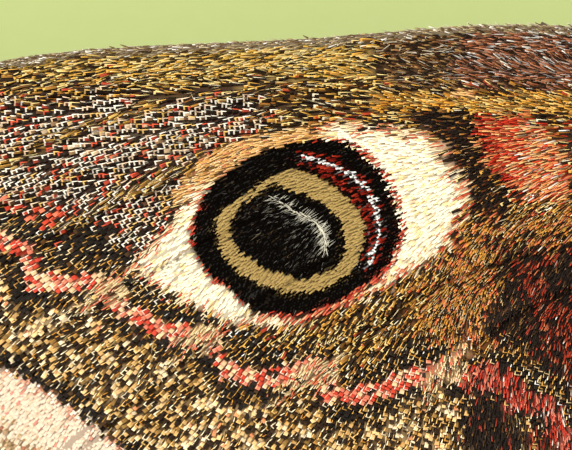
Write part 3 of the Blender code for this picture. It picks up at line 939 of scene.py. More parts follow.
CREAM_EDGE = Mix(((6, "#fbe0b2", "#fff0d0"), (2.2, "#dc6a4a", "#f6a47c"), (1.0, "#b83420", "#e8583c"),
    (0.6, "#4a2a12", "#7a5026")), long=2.0, wide=0.8, lift=0.5, uneven=0.06, turn=9, pointed=0.6, fine=True)
ROSE = Mix(((3.4, "#b82c1e", "#dc5038"), (2.6, "#d0604a", "#f09478"), (2.2, "#e4b084", "#fcdcb0"),
    (0.7, "#1a0e06", "#2c1a0c")), ((1.5, ""), (2, "#fff0dc"), (1.5, "#f8b090")), turn=5, uneven=0.12,
    rim_width=0.9, pointed=0.2)
ROSE_CREAM = Mix(((5, "#d8b078", "#fbe4b0"), (2, "#d45a3c", "#f48a64"), (1.2, "#2a1a0c", "#4a3216")),
    ((1, ""), (1, "#fff4d8")), ((1, ""), (2, "#fff0cc")), long=1.8, wide=0.75, turn=10, pointed=0.5,
    fine=True)
ROSE_HAIR = Hairy(((4, "#a82416", "#dc4834"), (2, "#c45844", "#f09078"), (3, "#120804", "#2a180c"),
    (0.5, "#d8c8b8", "#ffffff")), ((5, ""), (1, "#f4a888")), ((4, ""), (1, "#f8e8dc")), long=2.0, wide=0.75)
CRIMSON = Downy(((4, "#a02010", "#dc3c22"), (2.4, "#c85a34", "#f49c66"), (1.6, "#6a1008", "#a01c0e"),
    (1.0, "#e8a060", "#ffd494")), ((5, ""), (1, "#ffa074")), ((4, ""), (1, "#ffc07c")), long=1.5, wide=0.8)
BLUSH = Downy(((3.4, "#dc7840", "#fca464"), (2.4, "#dca464", "#ffd898"), (3, "#bc2c14", "#ec5030"),
    (1.2, "#40200c", "#70401c"), (0.4, "#e8d8cc", "#ffffff")), ((3, ""), (1, "#fff0d8")),
    ((2, ""), (1, "#ffe8d0")), long=1.8, wide=0.75, lift=0.8)
RED_HAIR = Hairy(((3.2, "#74180a", "#b83c20"), (0.8, "#a84a2c", "#e08860"), (6.5, "#110703", "#22120a"),
    (0.15, "#b8a898", "#ffffff")), ((8, ""), (1, "#e08c60")), ((5, ""), (0.5, "#f8e8dc"), (1, "#e87850")),
    long=2.2, wide=0.75, lift=1.1)
DARK_HAIR = Hairy(((7, "#110703", "#20120a"), (1, "#2e1c0e", "#60401e"), (0.5, "#7c2010", "#c44830")),
    ((9, ""), (1, "#c89454")), ((6, ""), (1, "#e0b068"), (0.5, "#d8604c")), long=2.0, wide=0.8)
FLECKED = Mix(((6, "#190d04", "#301c08"), (2, "#5a3e1c", "#b08848"), (1.4, "#a07840", "#ecc080")),
    ((1.4, ""), (3, "#f4c478"), (1.8, "#fff0cc"), (1, "#cc8c34")), ((3, ""), (2, "#fce0a0")), rim_width=1.2,
    tipped=0.3, turn=9, pointed=0.25)
FLECK_PALE = Mix(((5, "#d8a664", "#fcdca4"), (2, "#e8c490", "#fff2d4"), (0.9, "#c87848", "#f4a878"),
    (3, "#1c1006", "#3a240c")), ((1, ""), (1.4, "#fff0d0")), ((3, ""), (1, "#fff8e8")), tipped=0.3, turn=10,
    uneven=0.25, pointed=0.3)
WHITE = Mix(((8, "#ecd4bc", "#f8e4d2"), (1.4, "#e0bc9c", "#f0d4bc"), (0.5, "#d07c6c", "#eca494")), long=1.3,
    wide=1.1, lift=0.35, uneven=0.03, fine=True)
WHITE_EDGE = Mix(((5, "#f4dec8", "#fff2e4"), (2.5, "#dc8c74", "#f8c0a4"), (1.2, "#8a543c", "#c88a6c")),
    lift=0.6, fine=True)
TAN = Mix(((5, "#a08464", "#d0b088"), (2, "#7a6040", "#ac8c64"), (2.5, "#d0b894", "#f4e4cc"),
    (0.6, "#94523a", "#c88468")), uneven=0.3, lift=0.8, fine=True)
VELVET = Slender(((9, "#050302", "#090503"), (0.3, "#120c08", "#2a2014")), ((30, ""), (1, "#5a4c38")),
    ((50, ""), (1, "#9a8868")), lift=0.6, turn=5, velvet=True)
BUFF = Slender(((7, "#a08448", "#b49a60"), (2, "#90743e", "#c4a86e")), lift=0.4, long=1.4, turn=6,
    uneven=0.06)
GARNET = Slender(((3.2, "#4c0e08", "#902418"), (1.6, "#7a1c12", "#b43c28"), (4.2, "#0a0504", "#140806")),
    long=1.2, turn=8, velvet=True)
HALO = Mix(((4, "#a01c0c", "#d4402a"), (2.4, "#c84a30", "#f48462"), (1.2, "#2a0c06", "#4a120a")), long=1.2,
    wide=0.85, turn=9, pointed=0.6, fine=True)
HALO_ROSE = Mix(((3, "#c84430", "#f07c5c"), (2, "#e49468", "#fccc9c"), (1, "#941a10", "#cc3820"),
    (1.4, "#1e1207", "#34200b")), long=1.6, wide=0.9, pointed=0.5, fine=True)
ICE = Mix(((8, "#e4ecf4", "#ffffff"), (1.2, "#8a1a10", "#b4321c"), (1.6, "#0a0605", "#160e0a")), long=0.75,
    wide=0.9, lift=1.4, pointed=0.2, fine=True)


class Markings:
    """What grows where on one face of a wing, and the round patch, if any, that has fine scales."""

    fine_centre: Plan = (0.0, 0.0)
    fine_reach: float = 0.0

    def near(self, plan: Array) -> Array:
        """Which plan places lie in the patch with fine scales, whose edge wavers."""
        wavering = 0.5 * mottle(plan, 0.5, 61)
        return np.linalg.norm(plan - self.fine_centre, axis=1) + wavering < self.fine_reach

    def paint(self, coat: Coat, form: WingForm, along: Array, across: Array) -> None:
        """Chooses the zones of the scales.

        Args:
            coat: the scales to colour.
            form: the wing that carries them.
            along: their shares from the hinge to the margin.
            across: their shares from the front edge to the hind edge.
        """
        raise NotImplementedError


@dataclass
class ForewingMarkings(Markings):
    """Markings of the forewing's upper face, as outlines in plan places."""

    eye_ring: tuple = ((18.8, -1.39), (18.52, -0.43), (18.15, 0.2), (17.29, 0.75), (16.27, 1.09),
        (15.58, 1.15), (15.05, 1.06), (14.65, 0.73), (14.22, 0.29), (13.93, -0.35), (13.79, -0.99),
        (13.83, -1.55), (14.2, -2.26), (14.67, -2.65), (15.25, -3.04), (15.94, -3.35), (16.49, -3.4),
        (17.18, -3.34), (17.65, -2.98), (18.12, -2.58), (18.48, -2.19))
    buff_ring: tuple = ((18.2, -1.12), (18.05, -0.72), (17.58, -0.33), (17.0, 0.1), (16.56, 0.34),
        (16.01, 0.25), (15.54, 0.01), (15.03, -0.47), (14.74, -0.91), (14.69, -1.43), (14.85, -2.02),
        (15.11, -2.41), (15.58, -2.69), (16.12, -2.86), (16.7, -2.8), (17.28, -2.52), (17.72, -2.24),
        (18.05, -1.8))
    pupil: tuple = ((17.91, -1.2), (17.78, -0.85), (17.58, -0.53), (17.22, -0.13), (16.85, -0.02),
        (16.41, -0.2), (15.94, -0.35), (15.54, -0.63), (15.21, -1.07), (15.12, -1.55), (15.18, -1.94),
        (15.43, -2.29), (15.83, -2.4), (16.23, -2.53), (16.56, -2.41), (17.0, -2.28), (17.4, -1.96),
        (17.72, -1.72))
    ice_line: tuple = ((16.16, 0.7), (15.75, 0.58), (15.39, 0.41), (14.88, 0.05), (14.48, -0.59),
        (14.39, -1.47), (14.62, -2.12))
    cream_inner: tuple = ((15.6, 1.35), (14.26, 1.46), (13.08, 1.28), (12.59, 0.49), (12.19, -0.09),
        (12.37, -0.95), (12.85, -1.76), (13.86, -2.46), (14.8, -2.95), (15.4, -1.2))
    cream_outer: tuple = ((20.04, -1.99), (19.32, -1.06), (18.81, -0.32), (18.09, 0.4), (17.26, 0.9),
        (16.2, 1.21), (17.0, -1.0), (16.0, -3.42), (17.2, -3.6), (18.03, -3.5), (18.5, -3.24),
        (19.01, -2.91), (19.49, -2.59))
    cream_tail: tuple = ((19.4, -0.6), (18.57, 0.62), (17.62, 1.14), (16.18, 1.5), (14.6, 1.66),
        (15.46, 1.2), (16.66, 1.0), (17.62, 0.6), (18.4, -0.2))
    crimson: tuple = ((12.15, 1.69), (11.61, 1.85), (10.72, 1.81), (10.29, 1.58), (9.94, 1.16), (9.7, 0.4),
        (9.8, -0.3), (10.33, -0.5), (10.88, -0.26), (11.35, -0.03), (11.92, 0.6), (12.15, 1.1))
    gap: tuple = ((13.5, 1.95), (12.57, 1.95), (12.0, 1.72), (11.91, 1.13), (11.7, 0.4), (11.1, -0.3),
        (11.3, -0.9), (12.13, -0.9), (12.35, -0.1), (12.6, 0.4), (12.8, 0.95), (13.3, 1.45))
    scallop: tuple = ((25.2, 3.0), (24.7, 1.6), (24.5, 0.4), (24.2, -0.6), (23.67, -1.12), (22.97, -1.51),
        (22.63, -1.68), (22.51, -2.4), (22.11, -2.44), (21.27, -2.47), (20.83, -2.58), (20.5, -2.81),
        (20.45, -3.15), (19.91, -3.48), (19.48, -3.73), (18.57, -3.9), (18.28, -3.98), (18.02, -4.56),
        (17.88, -4.84), (17.41, -4.97), (16.87, -5.0), (16.39, -4.88), (16.02, -4.81), (15.67, -4.91),
        (15.48, -5.29), (15.19, -5.46), (14.77, -5.43), (14.17, -5.27), (13.71, -5.11), (13.01, -4.76),
        (12.61, -4.78), (12.37, -5.01), (12.0, -5.06), (11.59, -4.9), (11.24, -5.17), (10.99, -5.62),
        (10.43, -5.66), (10.14, -6.2), (9.81, -6.57), (9.2, -7.1), (8.9, -7.9))
    white_edge: tuple = ((27.9, 1.6), (27.3, 0.2), (26.6, -1.3), (25.4, -2.9), (23.75, -4.27),
        (22.54, -4.92), (21.51, -5.68), (20.38, -6.62), (19.11, -7.5), (18.0, -8.6), (16.2, -10.3),
        (14.2, -12.0), (12.9, -13.0))
    red_side: tuple = ((10.77, -2.05), (9.4, -1.6), (8.6, -3.4), (9.2, -5.3), (10.25, -4.73),
        (10.61, -3.78), (10.92, -2.82))
    red_low: tuple = ((11.58, -4.3), (11.0, -4.74), (10.3, -5.08), (9.3, -5.3), (8.9, -7.2), (10.38, -7.1),
        (10.98, -6.04), (11.48, -5.47), (11.8, -4.85))
    dark_blots: tuple = (((11.33, -2.77), (10.8, -3.1), (10.4, -4.84), (11.0, -4.54), (11.61, -4.17),
        (11.83, -3.59), (11.52, -3.11)), ((12.19, -5.43), (11.53, -5.5), (11.02, -6.14), (10.8, -7.3),
        (12.1, -7.6), (12.39, -6.18)), ((10.29, -2.04), (9.5, -1.6), (9.3, -3.0), (10.03, -3.14),
        (10.37, -2.63)))
    antemedial: tuple = ((8.6, 3.6), (8.2, 2.2), (7.4, 0.8), (7.6, -0.6), (6.9, -1.8), (7.2, -3.2),
        (6.8, -5.4))
    apex_streak: tuple = ((28.9, 0.6), (28.2, 0.2), (27.4, 0.35), (26.6, 0.9))
    apex_spot: Plan = (27.3, -0.55)
    radius_vein: tuple = ((23.38, 0.57), (22.71, 0.87), (22.28, 1.12), (21.78, 1.37), (21.23, 1.64),
        (20.72, 1.82), (20.24, 1.99), (19.69, 2.22), (18.59, 2.57))
    media_vein: tuple = ((16.42, 1.21), (19.35, 0.2), (21.57, -0.82), (22.73, -1.49))
    tuft_veins: tuple = (((18.8, -1.47), (20.15, -2.01), (20.57, -2.59), (22.22, -3.69)), ((17.37, -3.03),
        (18.3, -3.8), (20.18, -5.5)), ((14.53, -3.81), (15.5, -4.7), (16.89, -5.8)), ((12.05, -3.85),
        (12.6, -4.7), (13.25, -5.61)))
    red_left: tuple = ((23.35, -0.43), (22.64, -0.32), (21.86, -0.66), (21.9, -1.18), (22.62, -1.37),
        (23.34, -1.29))
    dark_left: tuple = ((23.34, -0.95), (22.5, -1.32), (21.84, -1.78), (21.53, -2.12), (21.05, -2.24),
        (20.46, -2.2), (19.98, -2.01), (20.23, -1.44), (20.95, -1.11), (22.15, -0.73))
    fine_centre: Plan = (16.5, -1.1)
    fine_reach: float = 9.0

    def paint(self, coat: Coat, form: WingForm, along: Array, across: Array) -> None:
        """Chooses the zones of the scales, from the ground colours to the eyespot.

        Args:
            coat: the scales to colour.
            form: the wing that carries them.
            along: shares from the hinge to the margin.
            across: shares from the front edge to the hind edge.
        """
        plan = coat.plan
        out, forward = plan[:, 0], plan[:, 1]
        wander = mottle(plan, 1.1, 11)
        coat.fill(EVERYWHERE, UMBER)
        self.outer_half(coat, wander)
        self.front(coat, wander)
        from_front = across * (len(form.lines) - 1) * form.spacing(along, across)
        coat.fill(from_front - 0.2, EDGE, 0.08)
        self.inner_half(coat, wander)
        self.lines_across(coat)
        self.margin(coat)
        crimson = within(plan, self.crimson)
        coat.fill(crimson, CRIMSON, 0.15)
        coat.fill(np.maximum(crimson + 0.05, out - 11.1 + 0.35 * wander + 0.25 * forward), BLUSH, 0.35)
        coat.fill(within(plan, self.gap), GAP, 0.2)
        tail = within(plan, self.cream_tail)
        coat.fill(tail, CREAM_TAN, 0.12)
        for outline in (self.cream_inner, self.cream_outer):
            zone = within(plan, outline)
            coat.fill(zone - 0.05, CREAM_EDGE, 0.14)
            coat.fill(zone + 0.16, CREAM, 0.14)
        self.eyespot(coat)

    def outer_half(self, coat: Coat, wander: Array) -> None:
        """Adds the lattice of dark scales with pale rims, and the ochre along two veins.

        Args:
            coat: the scales to colour.
            wander: a slow random value for each scale.
        """
        plan = coat.plan
        out, forward = plan[:, 0], plan[:, 1]
        coat.fill(np.maximum(19.0 - out + 0.5 * wander, forward - 2.2), LATTICE, 0.8)
        coat.fill(np.maximum(17.0 - out, 0.35 - forward + 0.3 * wander), LATTICE, 0.6)
        coat.fill(np.maximum(18.6 - out, np.abs(forward - 1.5) - 0.55 + 0.3 * wander), LATTICE_PALE, 0.5)
        coat.fill(within(plan, self.dark_left), DARK_RIM, 0.25)
        coat.fill(within(plan, self.red_left), LATTICE_RED, 0.3)
        for path in (self.radius_vein, self.media_vein):
            far = path_distance(plan, path, 40)
            coat.fill(far - 0.13 + 0.08 * wander, OCHRE, 0.14)

    def front(self, coat: Coat, wander: Array) -> None:
        """Adds the strips along the front edge.

        Args:
            coat: the scales to colour.
            wander: a slow random value for each scale.
        """
        out, forward = coat.plan[:, 0], coat.plan[:, 1]
        coat.fill(2.35 - forward + 0.2 * wander, UMBER, 0.3)
        gold = np.maximum(2.7 - forward + 0.04 * (out - 14), 14.5 - out) + 0.2 * wander
        coat.fill(gold, COSTAL_GOLD, 0.35)
        coat.fill(np.maximum(2.5 - forward, out - 14.2), COSTAL, 0.3)
        coat.fill(np.maximum(2.6 - forward, out - 12.4 + 0.3 * wander), COSTAL_PINK, 0.4)
        coat.fill(np.maximum(np.abs(forward - 2.12) - 0.26, out - 14.4), GOLD, 0.16)
        coat.fill(np.hypot(out - 12.15, (forward - 2.42) * 3) - 0.35, CREAM_TAN, 0.1)

    def inner_half(self, coat: Coat, wander: Array) -> None:
        """Adds the hairy red and dark patches between the eyespot and the body.

        Args:
            coat: the scales to colour.
            wander: a slow random value for each scale.
        """
        plan = coat.plan
        out, forward = plan[:, 0], plan[:, 1]
        coat.fill(np.maximum(out - 12.9 + 0.4 * (forward + 2), forward + 0.4), DARK_GOLD, 0.5)
        coat.fill(np.maximum(out - 11.4 + 0.3 * wander, forward + 1.6), DARK_HAIR, 0.4)
        coat.fill(np.maximum(out - 9.4, forward - 1.7), RED_HAIR, 0.4)
        coat.fill(within(plan, self.red_side), RED_HAIR, 0.25)
        for outline in self.dark_blots:
            coat.fill(within(plan, outline), DARK_HAIR, 0.2)
        coat.fill(within(plan, self.red_low), RED_HAIR, 0.2)
        line = path_distance(plan, self.antemedial, 40)
        coat.fill(line - 0.75, DARK_HAIR, 0.3)
        coat.fill(line - 0.3, RED_HAIR, 0.15)
        coat.fill(out - 5.6 + 0.4 * wander, DARK_HAIR, 0.5)

    def lines_across(self, coat: Coat) -> None:
        """Adds the scalloped rose line with its dark borders, and the flecks beyond it.

        Args:
            coat: the scales to colour.
        """
        plan = coat.plan
        far = path_distance(plan, self.scallop, 130)
        past = beyond(plan, self.scallop)
        flecks = mottle(plan, 0.2, 23) + 0.4 * mottle(plan, 0.55, 26) + 0.25 * mottle(plan, 1.6, 24)
        near_inside = np.where(past, NOWHERE, far - 0.75 + 0.3 * mottle(plan, 0.9, 25))
        coat.fill(near_inside, DARK, 0.25)
        coat.fill(np.where(past, -far, far), FLECKED, 0.05)
        coat.fill(np.where(past, np.maximum(0.7 - far, 0.2 - flecks), NOWHERE), FLECK_PALE, 0.1)
        coat.fill(np.where(past, far - 0.5 + 0.2 * mottle(plan, 0.7, 27), NOWHERE), DARK_RIM, 0.18)
        inner = plan[:, 0] - 12.3 + 0.4 * mottle(plan, 0.5, 29)
        coat.fill(within(plan, self.dark_blots[1]), DARK_HAIR, 0.25)
        coat.fill(np.where(past, inner + 1.9, NOWHERE), RED_HAIR, 0.3)
        coat.fill(far - 0.23 + 0.06 * mottle(plan, 0.4, 28), ROSE, 0.05)
        coat.fill(np.maximum(far - 0.27, inner), ROSE_HAIR, 0.12)
        for path in self.tuft_veins:
            vein = path_distance(plan, path, 20)
            coat.fill(np.maximum(far - 0.3, vein - 0.34), ROSE_CREAM, 0.12)
            coat.fill(np.maximum(far - 0.75, vein - 0.07), ROSE_CREAM, 0.06)

    def margin(self, coat: Coat) -> None:
        """Adds the white band, the tan margin and the marks of the wing tip.

        Args:
            coat: the scales to colour.
        """
        plan = coat.plan
        far = path_distance(plan, self.white_edge, 60)
        past = beyond(plan, self.white_edge)
        coat.fill(np.where(past, NOWHERE, far - 0.3), DARK_RIM, 0.2)
        coat.fill(np.where(past, -far, far), WHITE_EDGE, 0.06)
        coat.fill(np.where(past, 0.2 - far, NOWHERE), WHITE, 0.15)
        coat.fill(np.where(past, 1.35 - far, NOWHERE), TAN, 0.35)
        streak = path_distance(plan, self.apex_streak, 12)
        coat.fill(np.maximum(streak - 0.75, 0.0 - plan[:, 1]), WHITE, 0.1)
        coat.fill(streak - 0.3, CRIMSON, 0.1)
        spot = np.linalg.norm(plan - self.apex_spot, axis=1)
        coat.fill(spot - 0.62, WHITE, 0.06)
        coat.fill(spot - 0.42, VELVET, 0.05)

    def eyespot(self, coat: Coat) -> None:
        """Adds the ringed eyespot.

        Args:
            coat: the scales to colour.
        """
        plan = coat.plan
        whole = within(plan, self.eye_ring)
        buff = within(plan, self.buff_ring)
        pupil = within(plan, self.pupil)
        ice, at = line_distance(plan, smooth_path(self.ice_line, np.linspace(0, 1, 30)))
        lower = step_up(-plan[:, 1], 1.6, 3.0) * step_up(17.2 - plan[:, 0], 0.0, 1.0)
        top_left = step_up(plan[:, 1], -0.4, 0.6) * step_up(plan[:, 0], 15.6, 16.6)
        coat.fill(np.maximum(whole - 0.28, 0.5 - top_left), CREAM_TAN, 0.1)
        coat.fill(whole - 0.17 * lower, HALO_ROSE, 0.07)
        right = step_up(15.6 - plan[:, 0], 0.0, 1.4)
        coat.fill(whole + 0.1 * top_left - 0.05 - 0.02 * right, HALO, 0.05)
        coat.fill(whole + 0.04 * right, VELVET, 0.05)
        bow = np.sin(math.pi * np.clip(at, 0.03, 0.97))
        inner = np.maximum(ice - 0.10 - 0.34 * bow, whole + 0.26 + 0.22 * bow)
        coat.fill(inner, GARNET, 0.1)
        coat.fill(ice - 0.07, ICE, 0.035)
        coat.fill(buff, BUFF, 0.035)
        coat.fill(np.maximum(pupil, buff + 0.15), VELVET, 0.045)


def beyond(plan: Array, edge: tuple) -> Array:
    """Which places lie between a line across the wing and the outer margin.

    Args:
        plan: rows of (out, forward).
        edge: the line's points, from the front edge to the hind edge.

    Returns:
        True for each place past the line.
    """
    far = [(edge[-1][0] + 3.0, edge[-1][1] - 6.0), (40.0, -20.0), (40.0, 6.0),
        (edge[0][0], edge[0][1] + 4.0)]
    ring = np.vstack((smooth_path(edge, np.linspace(0, 1, 110)), far))
    return inside_distance(plan, ring) < 0


HIND_ORANGE = Mix(((5, "#a8641c", "#dc9638"), (3, "#c07c2c", "#ecb058"), (1, "#7a4416", "#b87030")),
    ((4, ""), (1, "#f6cc84")))
HIND_BASE = Mix(((4, "#6a3420", "#a8604a"), (3, "#4a2a1a", "#8a5638"), (2, "#8a5428", "#c88a4a")),
    ((4, ""), (1, "#e0b090")), long=2.0, wide=0.65)
HIND_DARK = Mix(((6, "#180f0a", "#2c1c12"), (2, "#38200f", "#6a4220"), (0.7, "#7a4a1c", "#c48a3c")),
    ((6, ""), (1, "#d8a458")))
HIND_PALE = Mix(((5, "#dcc0b0", "#f8e8dc"), (2, "#caa08c", "#ecc8b4"), (1, "#b05a48", "#dc8a74")))
HIND_MARGIN = Mix(((5, "#7a5430", "#b08450"), (3, "#5a3c22", "#8a6438"), (1, "#a8845c", "#dcc094")))
UNDER_GREY = Mix(((5, "#8a6f60", "#b89c8a"), (3, "#6e5648", "#98806e"), (2, "#b49c8c", "#e0cebe")))
UNDER_ROSE = Mix(((5, "#a0685a", "#cc9482"), (3, "#84524a", "#b07a6c"), (2, "#c0a090", "#e8d0c2")))
UNDER_ORANGE = Mix(((5, "#a8642a", "#d08c48"), (3, "#8a5228", "#b87840"), (1, "#c89468", "#e8c49c")))
UNDER_DARK = Mix(((5, "#2e2018", "#4a3628"), (2, "#5a4434", "#84684f")))
UNDER_PALE = Mix(((5, "#d0bcac", "#f2e6da"), (2, "#b89c8c", "#dcc4b4")))


@dataclass
class RoundEyespot:
    """A plain ringed eyespot, as wide rings about one place."""

    centre: Plan
    radius: float
    squeeze: float = 0.88
    turn: float = 30.0

    def paint(self, coat: Coat, ground: Mix) -> None:
        """Adds the rings from the outside in.

        Args:
            coat: the scales to colour.
            ground: what surrounds the eyespot.
        """
        turn = math.radians(self.turn)
        offset = coat.plan - self.centre
        x = offset[:, 0] * math.cos(turn) - offset[:, 1] * math.sin(turn)
        y = (offset[:, 0] * math.sin(turn) + offset[:, 1] * math.cos(turn)) / self.squeeze
        far = np.hypot(x, y)
        coat.fill(far - 1.55 * self.radius, ground, 0.25)
        coat.fill(far - self.radius - 0.06, HALO, 0.05)
        coat.fill(far - self.radius, VELVET, 0.05)
        arc = np.abs(np.hypot(x + 0.05, y) - 0.74 * self.radius)
        inner = step_up(-x, 0.1, 0.5)
        coat.fill(np.where(inner > 0.3, arc - 0.13, NOWHERE), GARNET, 0.06)
        coat.fill(np.where(inner > 0.4, np.abs(far - 0.82 * self.radius) - 0.04, NOWHERE), ICE, 0.03)
        coat.fill(far - 0.62 * self.radius, BUFF, 0.04)
        coat.fill(far - 0.46 * self.radius, VELVET, 0.05)


@dataclass
class HindwingMarkings(Markings):
    """Markings of the orange hindwing's upper face."""

    eyespot: RoundEyespot = field(default_factory=lambda: RoundEyespot((8.6, -11.2), 1.75))
    wave: float = 0.018
    length: float = 19.0

    def paint(self, coat: Coat, form: WingForm, along: Array, across: Array) -> None:
        """Chooses the zones of the scales, from the ground colours to the eyespot.

        Args:
            coat: the scales to colour.
            form: the wing that carries them.
            along: shares from the hinge to the margin.
            across: shares from the front edge to the hind edge.
        """
        wander = mottle(coat.plan, 1.2, 31)
        bays = self.wave * np.cos(2 * math.pi * across * (len(form.lines) - 1))
        reach = (along + bays) * self.length
        coat.fill(EVERYWHERE, HIND_ORANGE)
        coat.fill(across * 14 - 1.2 + 0.4 * wander, HIND_PALE, 0.4)
        coat.fill(np.abs(reach - 0.33 * self.length + 0.3 * wander) - 0.35, HIND_DARK, 0.2)
        coat.fill(reach - 0.27 * self.length + 0.3 * wander, HIND_BASE, 0.6)
        coat.fill((0.93 - across) * 16 + 0.5 * wander, HIND_BASE, 0.6)
        self.eyespot.paint(coat, HIND_ORANGE)
        coat.fill(np.abs(reach - 0.72 * self.length) - 0.16, HIND_DARK, 0.1)
        coat.fill(0.775 * self.length - reach, HIND_DARK, 0.25)
        coat.fill(0.885 * self.length - reach, HIND_PALE, 0.1)
        coat.fill((0.93 - along) * self.length, HIND_MARGIN, 0.2)


@dataclass
class UndersideMarkings(Markings):
    """Markings of a wing's under face, paler and greyer than above."""

    eyespot: RoundEyespot
    front: Mix
    hind: Mix
    wave: float = 0.012
    length: float = 24.0

    def paint(self, coat: Coat, form: WingForm, along: Array, across: Array) -> None:
        """Chooses the zones of the scales.

        Args:
            coat: the scales to colour.
            form: the wing that carries them.
            along: shares from the hinge to the margin.
            across: shares from the front edge to the hind edge.
        """
        wander = mottle(coat.plan, 1.4, 41)
        bays = self.wave * np.cos(2 * math.pi * across * (len(form.lines) - 1))
        reach = (along + bays) * self.length
        coat.fill(EVERYWHERE, self.front)
        coat.fill((0.45 - across) * 12 + 0.6 * wander, self.hind, 0.6)
        coat.fill(np.abs(reach - 0.30 * self.length) - 0.3, UNDER_DARK, 0.15)
        self.eyespot.paint(coat, UNDER_PALE)
        coat.fill(np.abs(reach - 0.72 * self.length) - 0.28, UNDER_DARK, 0.15)
        coat.fill(np.abs(reach - 0.80 * self.length) - 0.9, self.front, 0.2)
        coat.fill(0.86 * self.length - reach, UNDER_PALE, 0.2)
        coat.fill(0.93 * self.length - reach, UNDER_DARK, 0.3)


@dataclass
class ScaleRows:
    """How the scales of one face are set out in rows, in millimetres but for the shares.

    Shown is how far beyond its root a scale shows its colour, brick is by what share of the spacing
    every other row is shifted, half is a scale's half width as a share of the spacing, roll is how far
    scales tip to one side, steep is the length that tilts a scale fully, sway and drift are how
    untidily the roots stand along and across a row, as shares of the spacing and the pitch, arc steps
    are how finely a row is measured, and fine rows are for zones of small scales.
    """

    row_pitch: float
    spacing: float
    overlap: float = 2.2
    tilt: float = 0.15
    shown: float = 0.2
    brick: float = 0.5
    half: float = 0.54
    roll: float = 0.12
    steep: float = 0.32
    sway: float = 0.13
    drift: float = 0.1
    arc_steps: int = 240
    fine: bool = False


SCALE_EDGE = 0.95
# How wide the strip of painted highlight along a scale's side is, as a share of its half width.
GLINT_STRIP_SHARE = 0.45
SCALE_FACES = ((1, 3, 2), (1, 0, 3), (0, 5, 3), (0, 4, 5), (2, 5, 6), (2, 3, 5), (1, 2, 6), (0, 5, 4),
    (0, 6, 5), (0, 1, 6))
# Which colour each face of a scale takes: root faces, near the root on top and the whole underside, are
# darkened as painted shade; side and tip faces carry the painted rim highlights.
SCALE_SHADES = (("root", "blade", "blade"), ("root", "root", "blade"), ("side",) * 3, ("side",) * 3,
    ("tip",) * 3, ("tip",) * 3, ("root", "blade", "blade"), ("root",) * 3, ("root",) * 3, ("root",) * 3)


